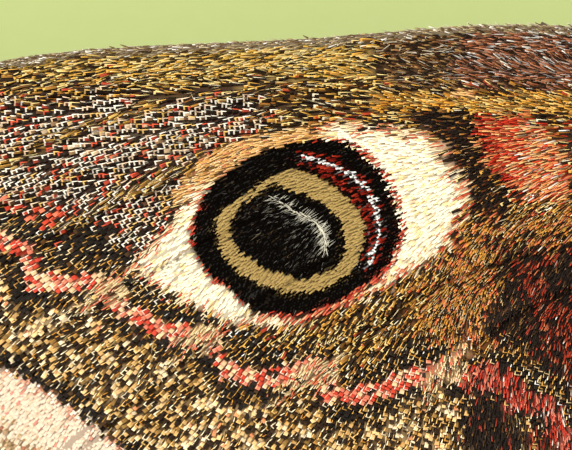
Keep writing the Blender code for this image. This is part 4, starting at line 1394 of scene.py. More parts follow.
@dataclass
class Wing:
    """One wing: a thin veined membrane, rows of scales on both faces, fringes and long base hairs.

    The scales turn towards a vein by the vein's pull, in radians, which fades over its reach and is
    none on its ridge. Nearer to the body than the inner out place they are combed more strongly, to
    the rear from one forward place on and over a width, and by a share to the front at the front edge.
    """

    form: WingForm
    name: str
    side: Side
    upper: Markings
    under: Markings
    upper_rows: ScaleRows
    under_rows: ScaleRows = field(default_factory=lambda: ScaleRows(0.29, 0.25))
    fine_rows: ScaleRows = field(default_factory=lambda: ScaleRows(0.095, 0.07, fine=True))
    seed: int = 5
    skin_rows: int = 110
    skin_columns: int = 90
    scales_in_piece: int = 17000
    base_hairs: int = 900
    loose_bristles: int = 5200
    fringe_hairs: int = 1700
    edge_hairs: int = 3000
    vein_pull: float = 0.3
    vein_reach: float = 0.45
    vein_ridge: float = 0.12
    inner_out: float = 15.5
    combed_from: float = 2.3
    combed_over: float = 2.9
    front_share: float = 0.4
    base_colours: tuple[str, str] = ("#2c1d14", "#8a6a50")
    fringe_colours: tuple[str, str] = ("#5a4430", "#b89a74")
    # Front edge hairs: tan roots, and near-white tips that are a painted highlight of light from behind the
    # wing.
    edge_backlit_colours: tuple[str, str] = ("#8a7454", "#fff8ec")

    def build(self, finishes: Finishes) -> None:
        """Makes the wing's pieces.

        Args:
            finishes: the moth's materials.
        """
        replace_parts(self.membrane(finishes.membrane), f"{self.name}_{self.side.name.lower()}")
        self.scales(Face.UPPER, self.upper, self.upper_rows, finishes)
        if self.upper.fine_reach:
            self.scales(Face.UPPER, self.upper, self.fine_rows, finishes)
        self.scales(Face.UNDER, self.under, self.under_rows, finishes)
        self.bristles(finishes.hair)
        self.fringe(finishes.hair)
        self.front_edge(finishes.hair)
        self.base_hair(finishes.hair)

    def piece_name(self, part: str) -> str:
        """The name of one of the wing's pieces."""
        return f"{self.name}_{self.side.name.lower()}_{part}"

    def membrane(self, finish: Finish) -> Piece:
        """Makes the thin closed membrane with its veins.

        Args:
            finish: its material.

        Returns:
            The membrane.
        """
        rows, columns = self.skin_rows + 1, self.skin_columns + 1
        along, across = np.meshgrid(np.linspace(0, 1, rows), np.linspace(0, 1, columns), indexing="ij")
        along, across = along.ravel(), across.ravel()
        places = np.vstack([self.form.surface(along, across, face) for face in Face])
        corner = (np.arange(rows - 1)[:, None] * columns + np.arange(columns - 1)).ravel()
        sheet = np.stack((corner, corner + 1, corner + columns + 1, corner + columns), axis=1)
        count = rows * columns
        rim = np.concatenate((np.arange(columns), np.arange(1, rows) * columns + columns - 1,
            np.arange(columns - 2, -1, -1) + (rows - 1) * columns, np.arange(rows - 2, 0, -1) * columns))
        after = np.roll(rim, -1)
        wall = np.stack((rim, after, after + count, rim + count), axis=1)
        faces = np.vstack((sheet[:, ::-1], sheet + count, wall))
        tint = []
        for markings in (self.upper, self.under):
            coat = Coat(self.form.plan(along, across), self.seed + 31)
            markings.paint(coat, self.form, along, across)
            # The membrane takes its coat's mean colour halved, as painted shade between the scales.
            tint.append(UNDERCOAT_PAINTED_SHADE * coat.ground())
        return new_piece(self.piece_name("membrane"), places, faces, finish, self.side,
            {"tint": np.vstack(tint)}, smooth=True)

    def roots(self, rows: ScaleRows, draw: np.random.Generator) -> tuple[Array, Array, Array]:
        """Spreads the roots of the scales in rows across the wing.

        Args:
            rows: how they are set out.
            draw: the random draw.

        Returns:
            The shares along and across the wing, and the pitch of the row at each root.
        """
        line = self.form.plan(np.linspace(0, 1, 50), np.full(50, 0.35))
        count = int(np.linalg.norm(np.diff(line, axis=0), axis=1).sum() / rows.row_pitch)
        fine = np.linspace(0, 1, rows.arc_steps)
        along, across, pitch = [], [], []
        for row in range(count):
            share = (row + 0.5) / count
            arc = self.form.plan(np.full(len(fine), share), fine)
            length = np.concatenate(([0], np.cumsum(np.linalg.norm(np.diff(arc, axis=0), axis=1))))
            number = max(2, int(length[-1] / rows.spacing))
            shifted = np.arange(number) + rows.brick * (row % 2)
            spots = (shifted + draw.uniform(-rows.sway, rows.sway, number)) / number
            v = np.interp(np.clip(spots, 0, 1) * length[-1], length, fine)
            u = np.clip(share + draw.uniform(-rows.drift, rows.drift, number) / count, 0, 1)
            step = self.form.plan(u + 0.5 / count, v) - self.form.plan(u - 0.5 / count, v)
            along.append(u)
            across.append(v)
            pitch.append(np.linalg.norm(step, axis=1))
        return np.concatenate(along), np.concatenate(across), np.concatenate(pitch)

    def lie(self, along: Array, across: Array, turn: Array, face: Face) -> tuple[Array, Array, Array]:
        """Which way the scales point.

        Args:
            along: shares from the hinge to the margin.
            across: shares from the front edge to the hind edge.
            turn: how far each is turned towards the front edge, in radians.
            face: which face.

        Returns:
            The directions of their tips, to one side of them and away from the wing.
        """
        outward, front, away = self.form.frames(along, across, face)
        _, off = self.form.vein_share(along, across)
        plan = self.form.plan(along, across)
        near_vein = np.exp(-np.abs(off) / self.vein_reach) * step_up(np.abs(off), 0.0, self.vein_ridge)
        towards_vein = self.vein_pull * np.sign(off) * near_vein
        inner = step_up(self.inner_out - plan[:, 0], 0.0, 4.0)
        rearward = np.clip((self.combed_from - plan[:, 1]) / self.combed_over, 0, 1)
        frontward = self.front_share * step_up(plan[:, 1], 2.2, 3.0) * inner
        sweep = self.form.sweep * (rearward * (0.3 + 0.7 * inner) - frontward)
        turn = (turn + towards_vein - sweep)[:, None]
        tips = outward * np.cos(turn) + front * np.sin(turn)
        return tips, np.cross(away, tips), away

    def scales(self, face: Face, markings: Markings, rows: ScaleRows, finishes: Finishes) -> None:
        """Makes the scales of one face.

        Args:
            face: which face.
            markings: their zones.
            rows: how they are set out.
            finishes: the moth's materials.
        """
        draw = new_draw(self.seed + rows.fine)
        along, across, pitch = self.roots(rows, draw)
        near = markings.near(self.form.plan(along, across))
        if rows.fine:
            along, across, pitch, near = along[near], across[near], pitch[near], near[near]
        count = len(along)
        root = self.form.surface(along, across, face)
        seen = root + rows.shown * self.lie(along, across, np.zeros(count), face)[0]
        coat = Coat(np.stack((seen[:, 0], PLAN_SHIFT - seen[:, 1]), axis=1), self.seed + 1)
        markings.paint(coat, self.form, along, across)
        growth = coat.colours()
        wanted = (near & (growth.factors["fine"] > 0)) == rows.fine
        grown = np.flatnonzero(wanted & (draw.uniform(0, 1, count) < growth.factors["kept"]))
        growth = growth.only(grown)
        along, across, pitch, root = along[grown], across[grown], pitch[grown], root[grown]
        count, factors = len(grown), growth.factors
        turn = np.radians(factors["turn"]) * draw.normal(0, 1, count)
        tips, aside, away = self.lie(along, across, turn, face)
        long = (pitch * rows.overlap * factors["long"] * draw.uniform(0.9, 1.1, count))[:, None]
        wide = (rows.spacing * rows.half * factors["wide"] * draw.uniform(0.9, 1.1, count))[:, None]
        stand = (rows.tilt * factors["lift"] * draw.uniform(0.6, 1.4, count))[:, None]
        rise = stand * np.minimum(long, rows.steep)
        roll = draw.uniform(-rows.roll, rows.roll, count)[:, None]
        inset = factors["rim_width"][:, None]
        narrow = 1 - factors["pointed"][:, None]
        zero = np.zeros((count, 1))

        def spot(x: Array, y: Array, z: float) -> Array:
            """A corner of every scale, from shares of its length, half width and height."""
            up = rise * x + wide * z + roll * wide * y
            return root + tips * long * x + aside * wide * y + away * up

        # Width of the painted highlight strip along the front side, as a share of the half width.
        rim = GLINT_STRIP_SHARE * inset
        shares = ((zero, zero - SCALE_EDGE + rim, -0.3), (zero, zero + 0.5, -0.3),
            (1 - 0.1 * inset, 0.9 * narrow, 0.10), (1 - 0.1 * inset, (rim - SCALE_EDGE) * narrow, 0.12),
            (zero + 0.4, zero - SCALE_EDGE, 0.0), (zero + 1, -SCALE_EDGE * narrow, 0.05),
            (zero + 1, SCALE_EDGE * narrow, 0.05))
        plates = [spot(*share) for share in shares]
        end = 0.4 * growth.body + 0.6 * growth.tip
        # Painted shade: the root and under faces take the body darkened to 0.6; the side and tip faces take
        # the painted rim highlights.
        shades = {"root": 0.6 * growth.body, "blade": end, "side": growth.rim, "tip": growth.tip_glint}
        tint = np.stack([shades[word] for face_shades in SCALE_SHADES for word in face_shades], axis=1)
        local = np.hstack([np.stack((0.5 * y, x - 0.5), axis=2) for x, y, _ in shares])
        uv = 0.01 + 0.98 * np.stack((across, along), axis=1)[:, None, :] + PATCH * local
        velvet = factors["velvet"] > 0
        word = f"{face.name.lower()}_fine" if rows.fine else face.name.lower()
        coats = (("scales", ~velvet, finishes.scale), ("velvet", velvet, finishes.velvet))
        for part, chosen, dress in coats:
            self.scale_pieces(f"{word}_{part}", plates, tint, uv, np.flatnonzero(chosen), dress)

    def scale_pieces(self, part: str, plates: list[Array], tint: Array, uv: Array, chosen: Array,
            finish: Finish) -> None:
        """Makes chosen scales as pieces of a handy size.

        Args:
            part: which part of the wing they make.
            plates: for each corner of a scale, its place on every scale.
            tint: the colours at the corners of every scale's faces.
            uv: the corners' places on the bake's map.
            chosen: the numbers of the chosen scales.
            finish: their material.
        """
        for number, first in enumerate(range(0, len(chosen), self.scales_in_piece)):
            some = chosen[first:first + self.scales_in_piece]
            points, faces = joined([corner[some] for corner in plates], np.array(SCALE_FACES))
            new_piece(self.piece_name(f"{part}_{number + 1}"), points, faces, finish, self.side,
                {"tint": tint[some].reshape(-1, 3)}, uv[some].reshape(-1, 2))

    def hairs(self, part: str, along: Array, across: Array, face: Face, turn: Array, lift: float,
            length: Array, radius: float, colours: tuple[str, str], finish: Finish) -> None:
        """Makes hairs that grow on the wing.

        Args:
            part: which part of the wing they make.
            along: their roots' shares from the hinge to the margin.
            across: their roots' shares from the front edge to the hind edge.
            face: which face they grow on.
            turn: how far each is turned towards the front edge, in radians.
            lift: how steeply they stand.
            length: their lengths in millimetres.
            radius: half their thickness in millimetres.
            colours: the colours of roots and tips.
            finish: their material.
        """
        draw = new_draw(self.seed + 3)
        tips, _, away = self.lie(along, across, turn, face)
        ways = unit(tips + away * lift * draw.uniform(0.3, 1.7, (len(along), 1)))
        hairs = Hairs(self.form.surface(along, across, face), ways, away, length,
            np.full(len(along), radius), 0.25)
        shade = draw.uniform(0.6, 1.4, (len(along), 1))
        tints = (np.array(linear(colours[0])) * shade, np.array(linear(colours[1])) * shade)
        hairs.build(self.piece_name(part), finish, self.side, tints, np.stack((across, along), axis=1))

    def bristles(self, finish: Finish) -> None:
        """Makes the loose bristles that lie over the scales of the upper face.

        Args:
            finish: its material.
        """
        draw = new_draw(self.seed + 21)
        count = self.loose_bristles
        along, across = draw.uniform(0.12, 0.97, count), draw.uniform(0.02, 0.99, count)
        turn = draw.normal(0, 0.2, count)
        tips, _, away = self.lie(along, across, turn, Face.UPPER)
        coat = Coat(self.form.plan(along, across), self.seed + 22)
        self.upper.paint(coat, self.form, along, across)
        tint, shown = coat.bristles()
        ways = unit(tips + away * draw.uniform(0.02, 0.22, (count, 1)))[shown]
        roots = (self.form.surface(along, across, Face.UPPER) + 0.04 * away)[shown]
        some = int(shown.sum())
        hairs = Hairs(roots, ways, away[shown], draw.uniform(0.14, 0.34, some), np.full(some, 0.0125), 0.12)
        places = np.stack((across, along), axis=1)[shown]
        tints = (0.8 * tint[shown], tint[shown])
        hairs.build(self.piece_name("bristles"), finish, self.side, tints, places)

    def fringe(self, finish: Finish) -> None:
        """Makes the hair-like scales that fringe the outer margin.

        Args:
            finish: its material.
        """
        draw = new_draw(self.seed + 7)
        count = self.fringe_hairs
        self.hairs("fringe", 1 - 0.012 * draw.uniform(0, 1, count), draw.uniform(0, 1, count), Face.UPPER,
            draw.normal(0, 0.12, count), 0.02, draw.uniform(0.35, 0.7, count), 0.03, self.fringe_colours,
            finish)

    def front_edge(self, finish: Finish) -> None:
        """Makes the short hairs that lie along the front edge, whose near-white tips are a painted backlit
        highlight.

        Args:
            finish: its material.
        """
        draw = new_draw(self.seed + 8)
        count = self.edge_hairs
        self.hairs("front_edge", draw.uniform(0.02, 0.98, count), 0.016 * draw.uniform(0, 1, count) ** 2,
            Face.UPPER, draw.normal(0.2, 0.15, count), 0.02, draw.uniform(0.12, 0.26, count), 0.013,
            self.edge_backlit_colours, finish)

    def base_hair(self, finish: Finish) -> None:
        """Makes the long hairs that hide the hinge, above and below.

        Args:
            finish: their material.
        """
        for face in Face:
            draw = new_draw(self.seed + 11 + face.value)
            count = self.base_hairs
            self.hairs(f"base_hair_{face.name.lower()}", 0.2 * draw.uniform(0.05, 1, count) ** 1.2,
                draw.uniform(0.0, 1, count), face, draw.normal(-0.25, 0.25, count), 0.22,
                draw.uniform(0.8, 1.9, count), 0.032, self.base_colours, finish)


@dataclass(frozen=True)
class Strokes:
    """One kind of the pupil's hairs, in millimetres, with how bright they are against white.

    Upward is the share that leans to the upper side of the line.
    """

    count: int
    spread: float
    scatter: float
    lengths: tuple[float, float]
    radius: float
    bright: tuple[float, float]
    upward: float = 0.4
    along_line: bool = False


@dataclass
class PupilHairs:
    """The fine white hairs of the eyespot's pupil: a bent line, its branches and faint strokes."""

    form: WingForm
    arc: tuple = ((16.94, -0.34), (16.67, -0.46), (16.27, -0.74), (15.9, -0.95), (15.69, -1.19),
        (15.6, -1.42), (15.56, -1.7))
    upper_way: Plan = (-0.78, 0.62)
    lower_start: Plan = (0.98, -0.2)
    lower_end: Plan = (0.5, -0.87)
    kinds: tuple = (
        Strokes(54, 0.0, 0.026, (0.12, 0.22), 0.012, (0.9, 1.1), along_line=True),
        Strokes(150, 0.05, 0.02, (0.09, 0.24), 0.009, (0.65, 1.1)),
        Strokes(170, 0.5, 0.1, (0.07, 0.15), 0.007, (0.12, 0.5), upward=0.0))

    def build(self, side: Side, finish: Finish) -> None:
        """Makes the hairs.

        Args:
            side: on which wing.
            finish: their material.
        """
        draw = new_draw(17)
        for number, kind in enumerate(self.kinds):
            count = kind.count
            share = draw.uniform(0, 1, count) ** 0.8
            base = smooth_path(self.arc, share)
            ahead = unit(smooth_path(self.arc, np.clip(share + 0.02, 0, 1))
                - smooth_path(self.arc, share - 0.02))
            lower = np.array(self.lower_start) * (1 - share[:, None]) + np.array(self.lower_end) * share[:,
                None]
            upward = (draw.uniform(0, 1, count) < kind.upward)[:, None]
            fan = unit(np.where(upward, np.array(self.upper_way), lower) + draw.normal(0, 0.16, (count, 2)))
            away = np.abs(draw.normal(0, 1, count)) * kind.spread
            plan = base + fan * away[:, None] + draw.normal(0, 1, (count, 2)) * kind.scatter
            way = unit(ahead + 0.12 * fan) if kind.along_line else fan
            up = self.form.middle(plan) + self.form.membrane / 2 + 0.05
            roots = solid(np.hstack((plan, up[:, None])))
            ways = unit(np.stack((way[:, 0], -way[:, 1], np.full(count, 0.1)), axis=1))
            hairs = Hairs(roots, ways, np.tile(UP, (count, 1)), draw.uniform(*kind.lengths, count),
                np.full(count, kind.radius), 0.1)
            tint = np.array(linear("#fffdf0")) * draw.uniform(*kind.bright, count)[:, None]
            hairs.build(f"forewing_{side.name.lower()}_pupil_hairs_{number + 1}", finish, side,
                (0.7 * tint, tint), np.stack((share, 0.2 + 0.6 * away / max(away.max(), 0.001)), axis=1))


@dataclass(frozen=True)
class Ball:
    """One rounded mass of the body, as (out, forward, up) and its half sizes in the same order."""

    centre: Place
    half: Place

    def points(self, ways: Array) -> tuple[Array, Array]:
        """Points of its surface, in millimetres, and their unit normals, in given unit directions."""
        half = np.array(self.half)
        return solid(np.array(self.centre)) + ways * half, unit(ways / half)

    def holds(self, places: Array) -> Array:
        """Which points lie inside it."""
        return np.linalg.norm((places - solid(np.array(self.centre))) / np.array(self.half), axis=1) < 1


def even_ways(count: int, draw: np.random.Generator) -> Array:
    """Directions spread evenly over a ball, with a little disorder.

    Args:
        count: how many.
        draw: the random draw.

    Returns:
        Rows of unit directions.
    """
    height = 1 - 2 * (np.arange(count) + draw.uniform(0, 1, count)) / count
    turn = np.arange(count) * math.pi * (3 - math.sqrt(5)) + draw.uniform(-0.3, 0.3, count)
    level = np.sqrt(np.maximum(1 - height**2, 0))
    return np.stack((level * np.cos(turn), height, level * np.sin(turn)), axis=1)


LEG_PATHS = {
    "foreleg": ((0.9, 2.6, 4.4), (1.9, 3.8, 3.3), (2.9, 5.2, 3.3), (3.5, 6.4, 1.9), (4.1, 7.6, 0.5),
                (4.5, 8.6, 0.24), (4.8, 9.6, 0.24)),
    "midleg": ((1.1, 0.4, 4.2), (2.5, 0.7, 3.1), (4.0, 0.9, 3.3), (5.2, 0.8, 1.9), (6.4, 0.6, 0.5),
               (7.5, 0.4, 0.24), (8.6, 0.2, 0.24)),
    "hindleg": ((1.0, -2.2, 4.2), (2.1, -3.1, 3.0), (3.3, -4.2, 3.2), (4.3, -5.6, 1.8), (5.1, -7.0, 0.5),
                (5.7, -8.1, 0.24), (6.2, -9.2, 0.24)),
}
LEG_RADII = (0.55, 0.52, 0.42, 0.32, 0.24, 0.20, 0.16)
PALP_PATH = ((0.45, 6.6, 4.5), (0.6, 7.4, 4.35), (0.65, 8.1, 4.7), (0.6, 8.6, 5.2))
PALP_RADII = (0.28, 0.32, 0.26, 0.16)
FUR_DARK = Mix(((4, "#2a1c13", "#6a503c"), (3, "#3a281c", "#8a6c50"), (1, "#1c130d", "#3a2a1e")))
FUR_COLLAR = Mix(((5, "#8a745c", "#e8d8bc"), (2, "#6a5640", "#c4ae8c")))
FUR_RUST = Mix(((4, "#4a2818", "#9a6040"), (3, "#3a2216", "#7a4c34"), (1, "#6a4830", "#b88c68")))
FUR_GREY = Mix(((4, "#4a3a2c", "#a08a70"), (3, "#3a2c20", "#7c6650"), (1, "#6a5844", "#c4b094")))
FUR_RING = Mix(((4, "#8a7458", "#dccaa8"), (2, "#6a563e", "#b8a080")))
FUR_LEG = Mix(((4, "#3a281a", "#8a6a48"), (2, "#5a4028", "#b49468"), (1, "#20160e", "#3c2a1c")))


def all_over(ways: Array) -> Array:
    """The rule of a fur that covers its whole mass."""
    return np.full(len(ways), EVERYWHERE)


@dataclass(frozen=True)
class Pelt:
    """The fur of one rounded mass, with its length and the hairs' radius in millimetres.

    The rules are pairs of a function, which gives a signed value for each direction, and the mix that
    grows where that is below zero. Lift is how steeply the hairs stand, hidden_by are the masses whose
    inside stays bare, and way is how the hairs lie.
    """

    name: str
    ball: Ball
    count: int
    length: float
    lift: float
    seed: int
    rules: tuple
    hidden_by: tuple[Ball, ...]
    radius: float = 0.035
    way: Place = (0.0, 1.0, -0.15)

    def coat(self, ways: Array) -> Coat:
        """Chooses the zones in given directions.

        Args:
            ways: rows of unit directions.

        Returns:
            The coat with its zones.
        """
        coat = Coat(ways[:, :2], self.seed + 1)
        for rule, mix in self.rules:
            coat.fill(rule(ways), mix, 0.12)
        return coat


@dataclass
class Body:
    """Thorax, abdomen, head, palps and legs: one skin under a coat of fur."""

    thorax: Ball = Ball((0.0, 0.0, 5.65), (2.95, 4.5, 2.75))
    neck: Ball = Ball((0.0, 4.5, 5.4), (1.3, 1.4, 1.2))
    waist: Ball = Ball((0.0, -4.5, 5.3), (1.7, 1.4, 1.8))
    head: Ball = Ball((0.0, 5.9, 5.3), (1.25, 1.4, 1.2))
    belly_start: float = -4.6
    belly_length: float = 9.0
    belly_rings: int = 7
    belly_half: float = 2.3
    skin_cell: float = 0.12
    limb_rings: int = 34
    limb_sides: int = 12

    def belly_ball(self, number: int) -> Ball:
        """One ring of the abdomen.

        Args:
            number: which ring, from the waist.

        Returns:
            The ring as a flattened ball.
        """
        share = (number + 0.5) / self.belly_rings
        half = self.belly_half * math.sqrt(1 - (max(share - 0.25, 0) / 0.78) ** 2.6)
        centre = (0.0, self.belly_start - share * self.belly_length, 5.3 - 1.0 * share**1.5)
        long = 0.78 * self.belly_length / self.belly_rings
        return Ball(centre, (0.86 * half, long, 0.84 * half))

    def balls(self) -> list[Ball]:
        """Every rounded mass of the body."""
        rings = [self.belly_ball(k) for k in range(self.belly_rings)]
        return [self.thorax, self.neck, self.waist, self.head, *rings]

    def build(self, finishes: Finishes) -> None:
        """Makes the skin and its fur.

        Args:
            finishes: the moth's materials.
        """
        legs = [f"{leg}_{side.name.lower()}" for leg in LEG_PATHS for side in Side]
        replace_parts(self.skin(finishes.cuticle), "thorax", "abdomen", "head", *legs)
        for pelt in self.pelts():
            self.fleece(pelt, finishes.hair)
        for side in Side:
            for number, (leg, path) in enumerate(LEG_PATHS.items()):
                self.limb_fur(f"{leg}_{side.name.lower()}_fur", path, LEG_RADII, 900, side, finishes.hair,
                    number)
                self.claws(f"{leg}_{side.name.lower()}_claws", path, side, finishes.cuticle)
            self.limb_fur(f"palp_{side.name.lower()}_fur", PALP_PATH, PALP_RADII, 420, side, finishes.hair,
                7)

    def skin(self, finish: Finish) -> Piece:
        """Makes one closed skin from the body's masses and limbs.

        Args:
            finish: its material.

        Returns:
            The skin.
        """
        cage = bmesh.new()
        for ball in self.balls():
            made = bmesh.ops.create_icosphere(cage, subdivisions=4, radius=1.0)["verts"]
            points, _ = ball.points(np.array([v.co[:] for v in made]))
            for vert, point in zip(made, points):
                vert.co = Vector(point)
        for side in Side:
            for path in LEG_PATHS.values():
                self.add_limb(cage, path, LEG_RADII, side)
            self.add_limb(cage, PALP_PATH, PALP_RADII, side)
        mesh = bpy.data.meshes.new("cage")
        cage.to_mesh(mesh)
        cage.free()
        rough = add_object("cage", mesh)
        remesh = rough.modifiers.new("one_skin", "REMESH")
        remesh.mode = "VOXEL"
        remesh.voxel_size = self.skin_cell
        soft = rough.modifiers.new("soft", "SMOOTH")
        soft.iterations = 3
        shaped = rough.evaluated_get(bpy.context.evaluated_depsgraph_get()).to_mesh()
        points = np.zeros(len(shaped.vertices) * 3)
        shaped.vertices.foreach_get("co", points)
        points = points.reshape(-1, 3)
        faces = np.array([p.vertices[:] for p in shaped.polygons])
        bpy.data.objects.remove(rough)
        points[:, 2] = np.maximum(points[:, 2], 0.0)
        return new_piece("body_skin", points, faces, finish, tints={"tint": self.skin_tint(points)},
            smooth=True)

    def add_limb(self, cage: bmesh.types.BMesh, path: tuple, radii: tuple, side: Side) -> None:
        """Adds a round limb to the cage.

        Args:
            cage: the mesh that is built up.
            path: the limb's middle.
            radii: its half thickness at the same places.
            side: on which half.
        """
        share = np.linspace(0, 1, self.limb_rings)
        middle = solid(smooth_path(path, share)) * (side.value, 1, 1)
        radius = np.interp(share, np.linspace(0, 1, len(radii)), radii)
        forward = unit(np.gradient(middle, axis=0))
        across = unit(np.cross(forward, LIMB_ASIDE))
        over = np.cross(across, forward)
        rings = []
        for k in range(len(share)):
            ring = []
            for turn in np.linspace(0, 2 * math.pi, self.limb_sides, endpoint=False):
                spot = middle[k] + radius[k] * (math.cos(turn) * across[k] + math.sin(turn) * over[k])
                ring.append(cage.verts.new(spot))
            rings.append(ring)
        for low, high in zip(rings, rings[1:]):
            for k in range(self.limb_sides):
                after = (k + 1) % self.limb_sides
                cage.faces.new((low[k], low[after], high[after], high[k]))
        cage.faces.new(rings[0][::-1])
        cage.faces.new(rings[-1])

    def fleece(self, pelt: Pelt, finish: Finish) -> None:
        """Makes the fur of one rounded mass.

        Args:
            pelt: the fur.
            finish: its material.
        """
        draw = new_draw(pelt.seed)
        ways = even_ways(pelt.count, draw)
        roots, normals = pelt.ball.points(ways)
        shown = np.ones(pelt.count, bool)
        for other in pelt.hidden_by:
            shown &= ~other.holds(roots)
        ways, roots, normals = ways[shown], roots[shown], normals[shown]
        lie = np.array(pelt.way) + draw.normal(0, 0.14, (len(ways), 3))
        lie = unit(lie - normals * np.sum(lie * normals, axis=1, keepdims=True))
        tips = unit(lie + normals * pelt.lift * draw.uniform(0.6, 1.4, (len(ways), 1)))
        growth = pelt.coat(ways).colours()
        lengths = pelt.length * draw.uniform(0.7, 1.2, len(ways))
        hairs = Hairs(roots, tips, normals, lengths, np.full(len(ways), pelt.radius), 0.3)
        places = np.stack((0.5 + np.arctan2(ways[:, 0], ways[:, 2]) / (2 * math.pi),
            0.5 - 0.5 * ways[:, 1]), axis=1)
        hairs.build(pelt.name, finish, Side.LEFT, (growth.body, growth.tip), places)

    def pelts(self) -> list[Pelt]:
        """The fur of each rounded mass: the thorax, the abdomen's rings, the waist, the head and the neck.

        Returns:
            The furs, in the order in which they are made.
        """
        dark = (all_over, FUR_DARK)
        thorax = (dark, (lambda w: 0.55 - w[:, 1], FUR_RUST), (lambda w: w[:, 1] + 0.80, FUR_COLLAR))
        grey = (all_over, FUR_GREY)
        found = [Pelt("thorax_fur", self.thorax, 10500, 1.5, 0.55, 61, thorax, (self.neck, self.waist),
            0.037)]
        for number in range(self.belly_rings):
            neighbours = [self.belly_ball(k) for k in (number - 1, number + 1) if 0 <= k < self.belly_rings]
            count = 1250 if number < self.belly_rings - 1 else 1600
            found.append(Pelt(f"abdomen_fur_{number + 1}", self.belly_ball(number), count, 1.0, 0.35,
                71 + number, (grey, (lambda w: 0.25 - w[:, 1], FUR_RING)), (*neighbours, self.thorax)))
        eyes = tuple(Ball((side.value * EYE_CENTRE[0], *EYE_CENTRE[1:]), (EYE_RADIUS,) * 3)
            for side in Side)
        found.append(Pelt("waist_fur", self.waist, 900, 1.3, 0.45, 81, (grey,), (self.thorax,)))
        found.append(Pelt("head_fur", self.head, 2400, 0.75, 0.6, 91,
            (dark, (lambda w: 0.45 - w[:, 2], FUR_RUST)), eyes, 0.03, (0.0, -1.0, 0.1)))
        found.append(Pelt("neck_fur", self.neck, 1500, 1.0, 0.6, 93, ((all_over, FUR_COLLAR),),
            (self.head,)))
        return found

    def skin_tint(self, points: Array) -> Array:
        """The skin's colours, which follow the fur that grows nearest to each point, halved as painted
        shade under the fur.

        Args:
            points: the skin's points in millimetres.

        Returns:
            A linear colour for each point.
        """
        limbs = Coat(points[:, :2], 50)
        limbs.fill(EVERYWHERE, FUR_LEG)
        tint = limbs.ground()
        nearest = np.full(len(points), 1.25)
        for pelt in self.pelts():
            offset = (points - solid(np.array(pelt.ball.centre))) / np.array(pelt.ball.half)
            depth = np.linalg.norm(offset, axis=1)
            closer = depth < nearest
            tint[closer] = pelt.coat(unit(offset[closer])).ground()
            nearest[closer] = depth[closer]
        return UNDERCOAT_PAINTED_SHADE * tint * (1 + 0.3 * mottle(points[:, :2], 0.5, 51)[:, None])

    def limb_fur(self, name: str, path: tuple, radii: tuple, count: int, side: Side, finish: Finish,
            seed: int) -> None:
        """Makes the fur of a leg or palp, long above and short on the foot.

        Args:
            name: the piece's name.
            path: the limb's middle.
            radii: its half thickness at the same places.
            count: how many hairs.
            side: on which half.
            finish: the fur's material.
            seed: which random draw.
        """
        draw = new_draw(101 + seed)
        share = draw.uniform(0.06, 0.98, count)
        turn = draw.uniform(0, 2 * math.pi, count)
        middle = solid(smooth_path(path, share))
        ahead = unit(solid(smooth_path(path, np.minimum(share + 0.01, 1)))
            - solid(smooth_path(path, share - 0.01)))
        across = unit(np.cross(ahead, LIMB_ASIDE))
        over = np.cross(across, ahead)
        normals = np.cos(turn)[:, None] * across + np.sin(turn)[:, None] * over
        radius = np.interp(share, np.linspace(0, 1, len(radii)), radii)
        tips = unit(ahead + normals * draw.uniform(0.15, 0.55, (count, 1)))
        lengths = np.interp(share, (0, 0.5, 0.75, 1),
            (0.9, 0.75, 0.35, 0.22)) * draw.uniform(0.7, 1.2, count)
        coat = Coat(middle[:, :2], 111 + seed)
        coat.fill(EVERYWHERE, FUR_LEG)
        growth = coat.colours()
        hairs = Hairs(middle + normals * 0.9 * radius[:, None], tips, normals, lengths,
            np.full(count, 0.03), 0.3)
        places = np.stack((turn / (2 * math.pi), share), axis=1)
        hairs.build(name, finish, side, (growth.body, growth.tip), places)

    def claws(self, name: str, path: tuple, side: Side, finish: Finish) -> None:
        """Makes the pair of hooked claws at the end of a leg.

        Args:
            name: the piece's name.
            path: the leg's middle.
            side: on which half.
            finish: their material.
        """
        end = solid(np.array(path[-1]))
        ahead = unit(end - solid(np.array(path[-2])))
        aside = np.cross(ahead, UP)
        ways = unit(np.array([ahead + s * 0.55 * aside + (0.0, 0.0, 0.15) for s in (-1, 1)]))
        roots = np.array([end + s * 0.07 * aside for s in (-1, 1)])
        hooks = Hairs(roots, ways, np.tile(UP, (2, 1)), np.full(2, 0.32), np.full(2, 0.06), 0.6, 5)
        dark = np.tile(np.array(linear("#1a0f08")), (2, 1))
        hooks.build(name, finish, side, (dark, dark), np.array(((0.3, 0.5), (0.7, 0.5))))


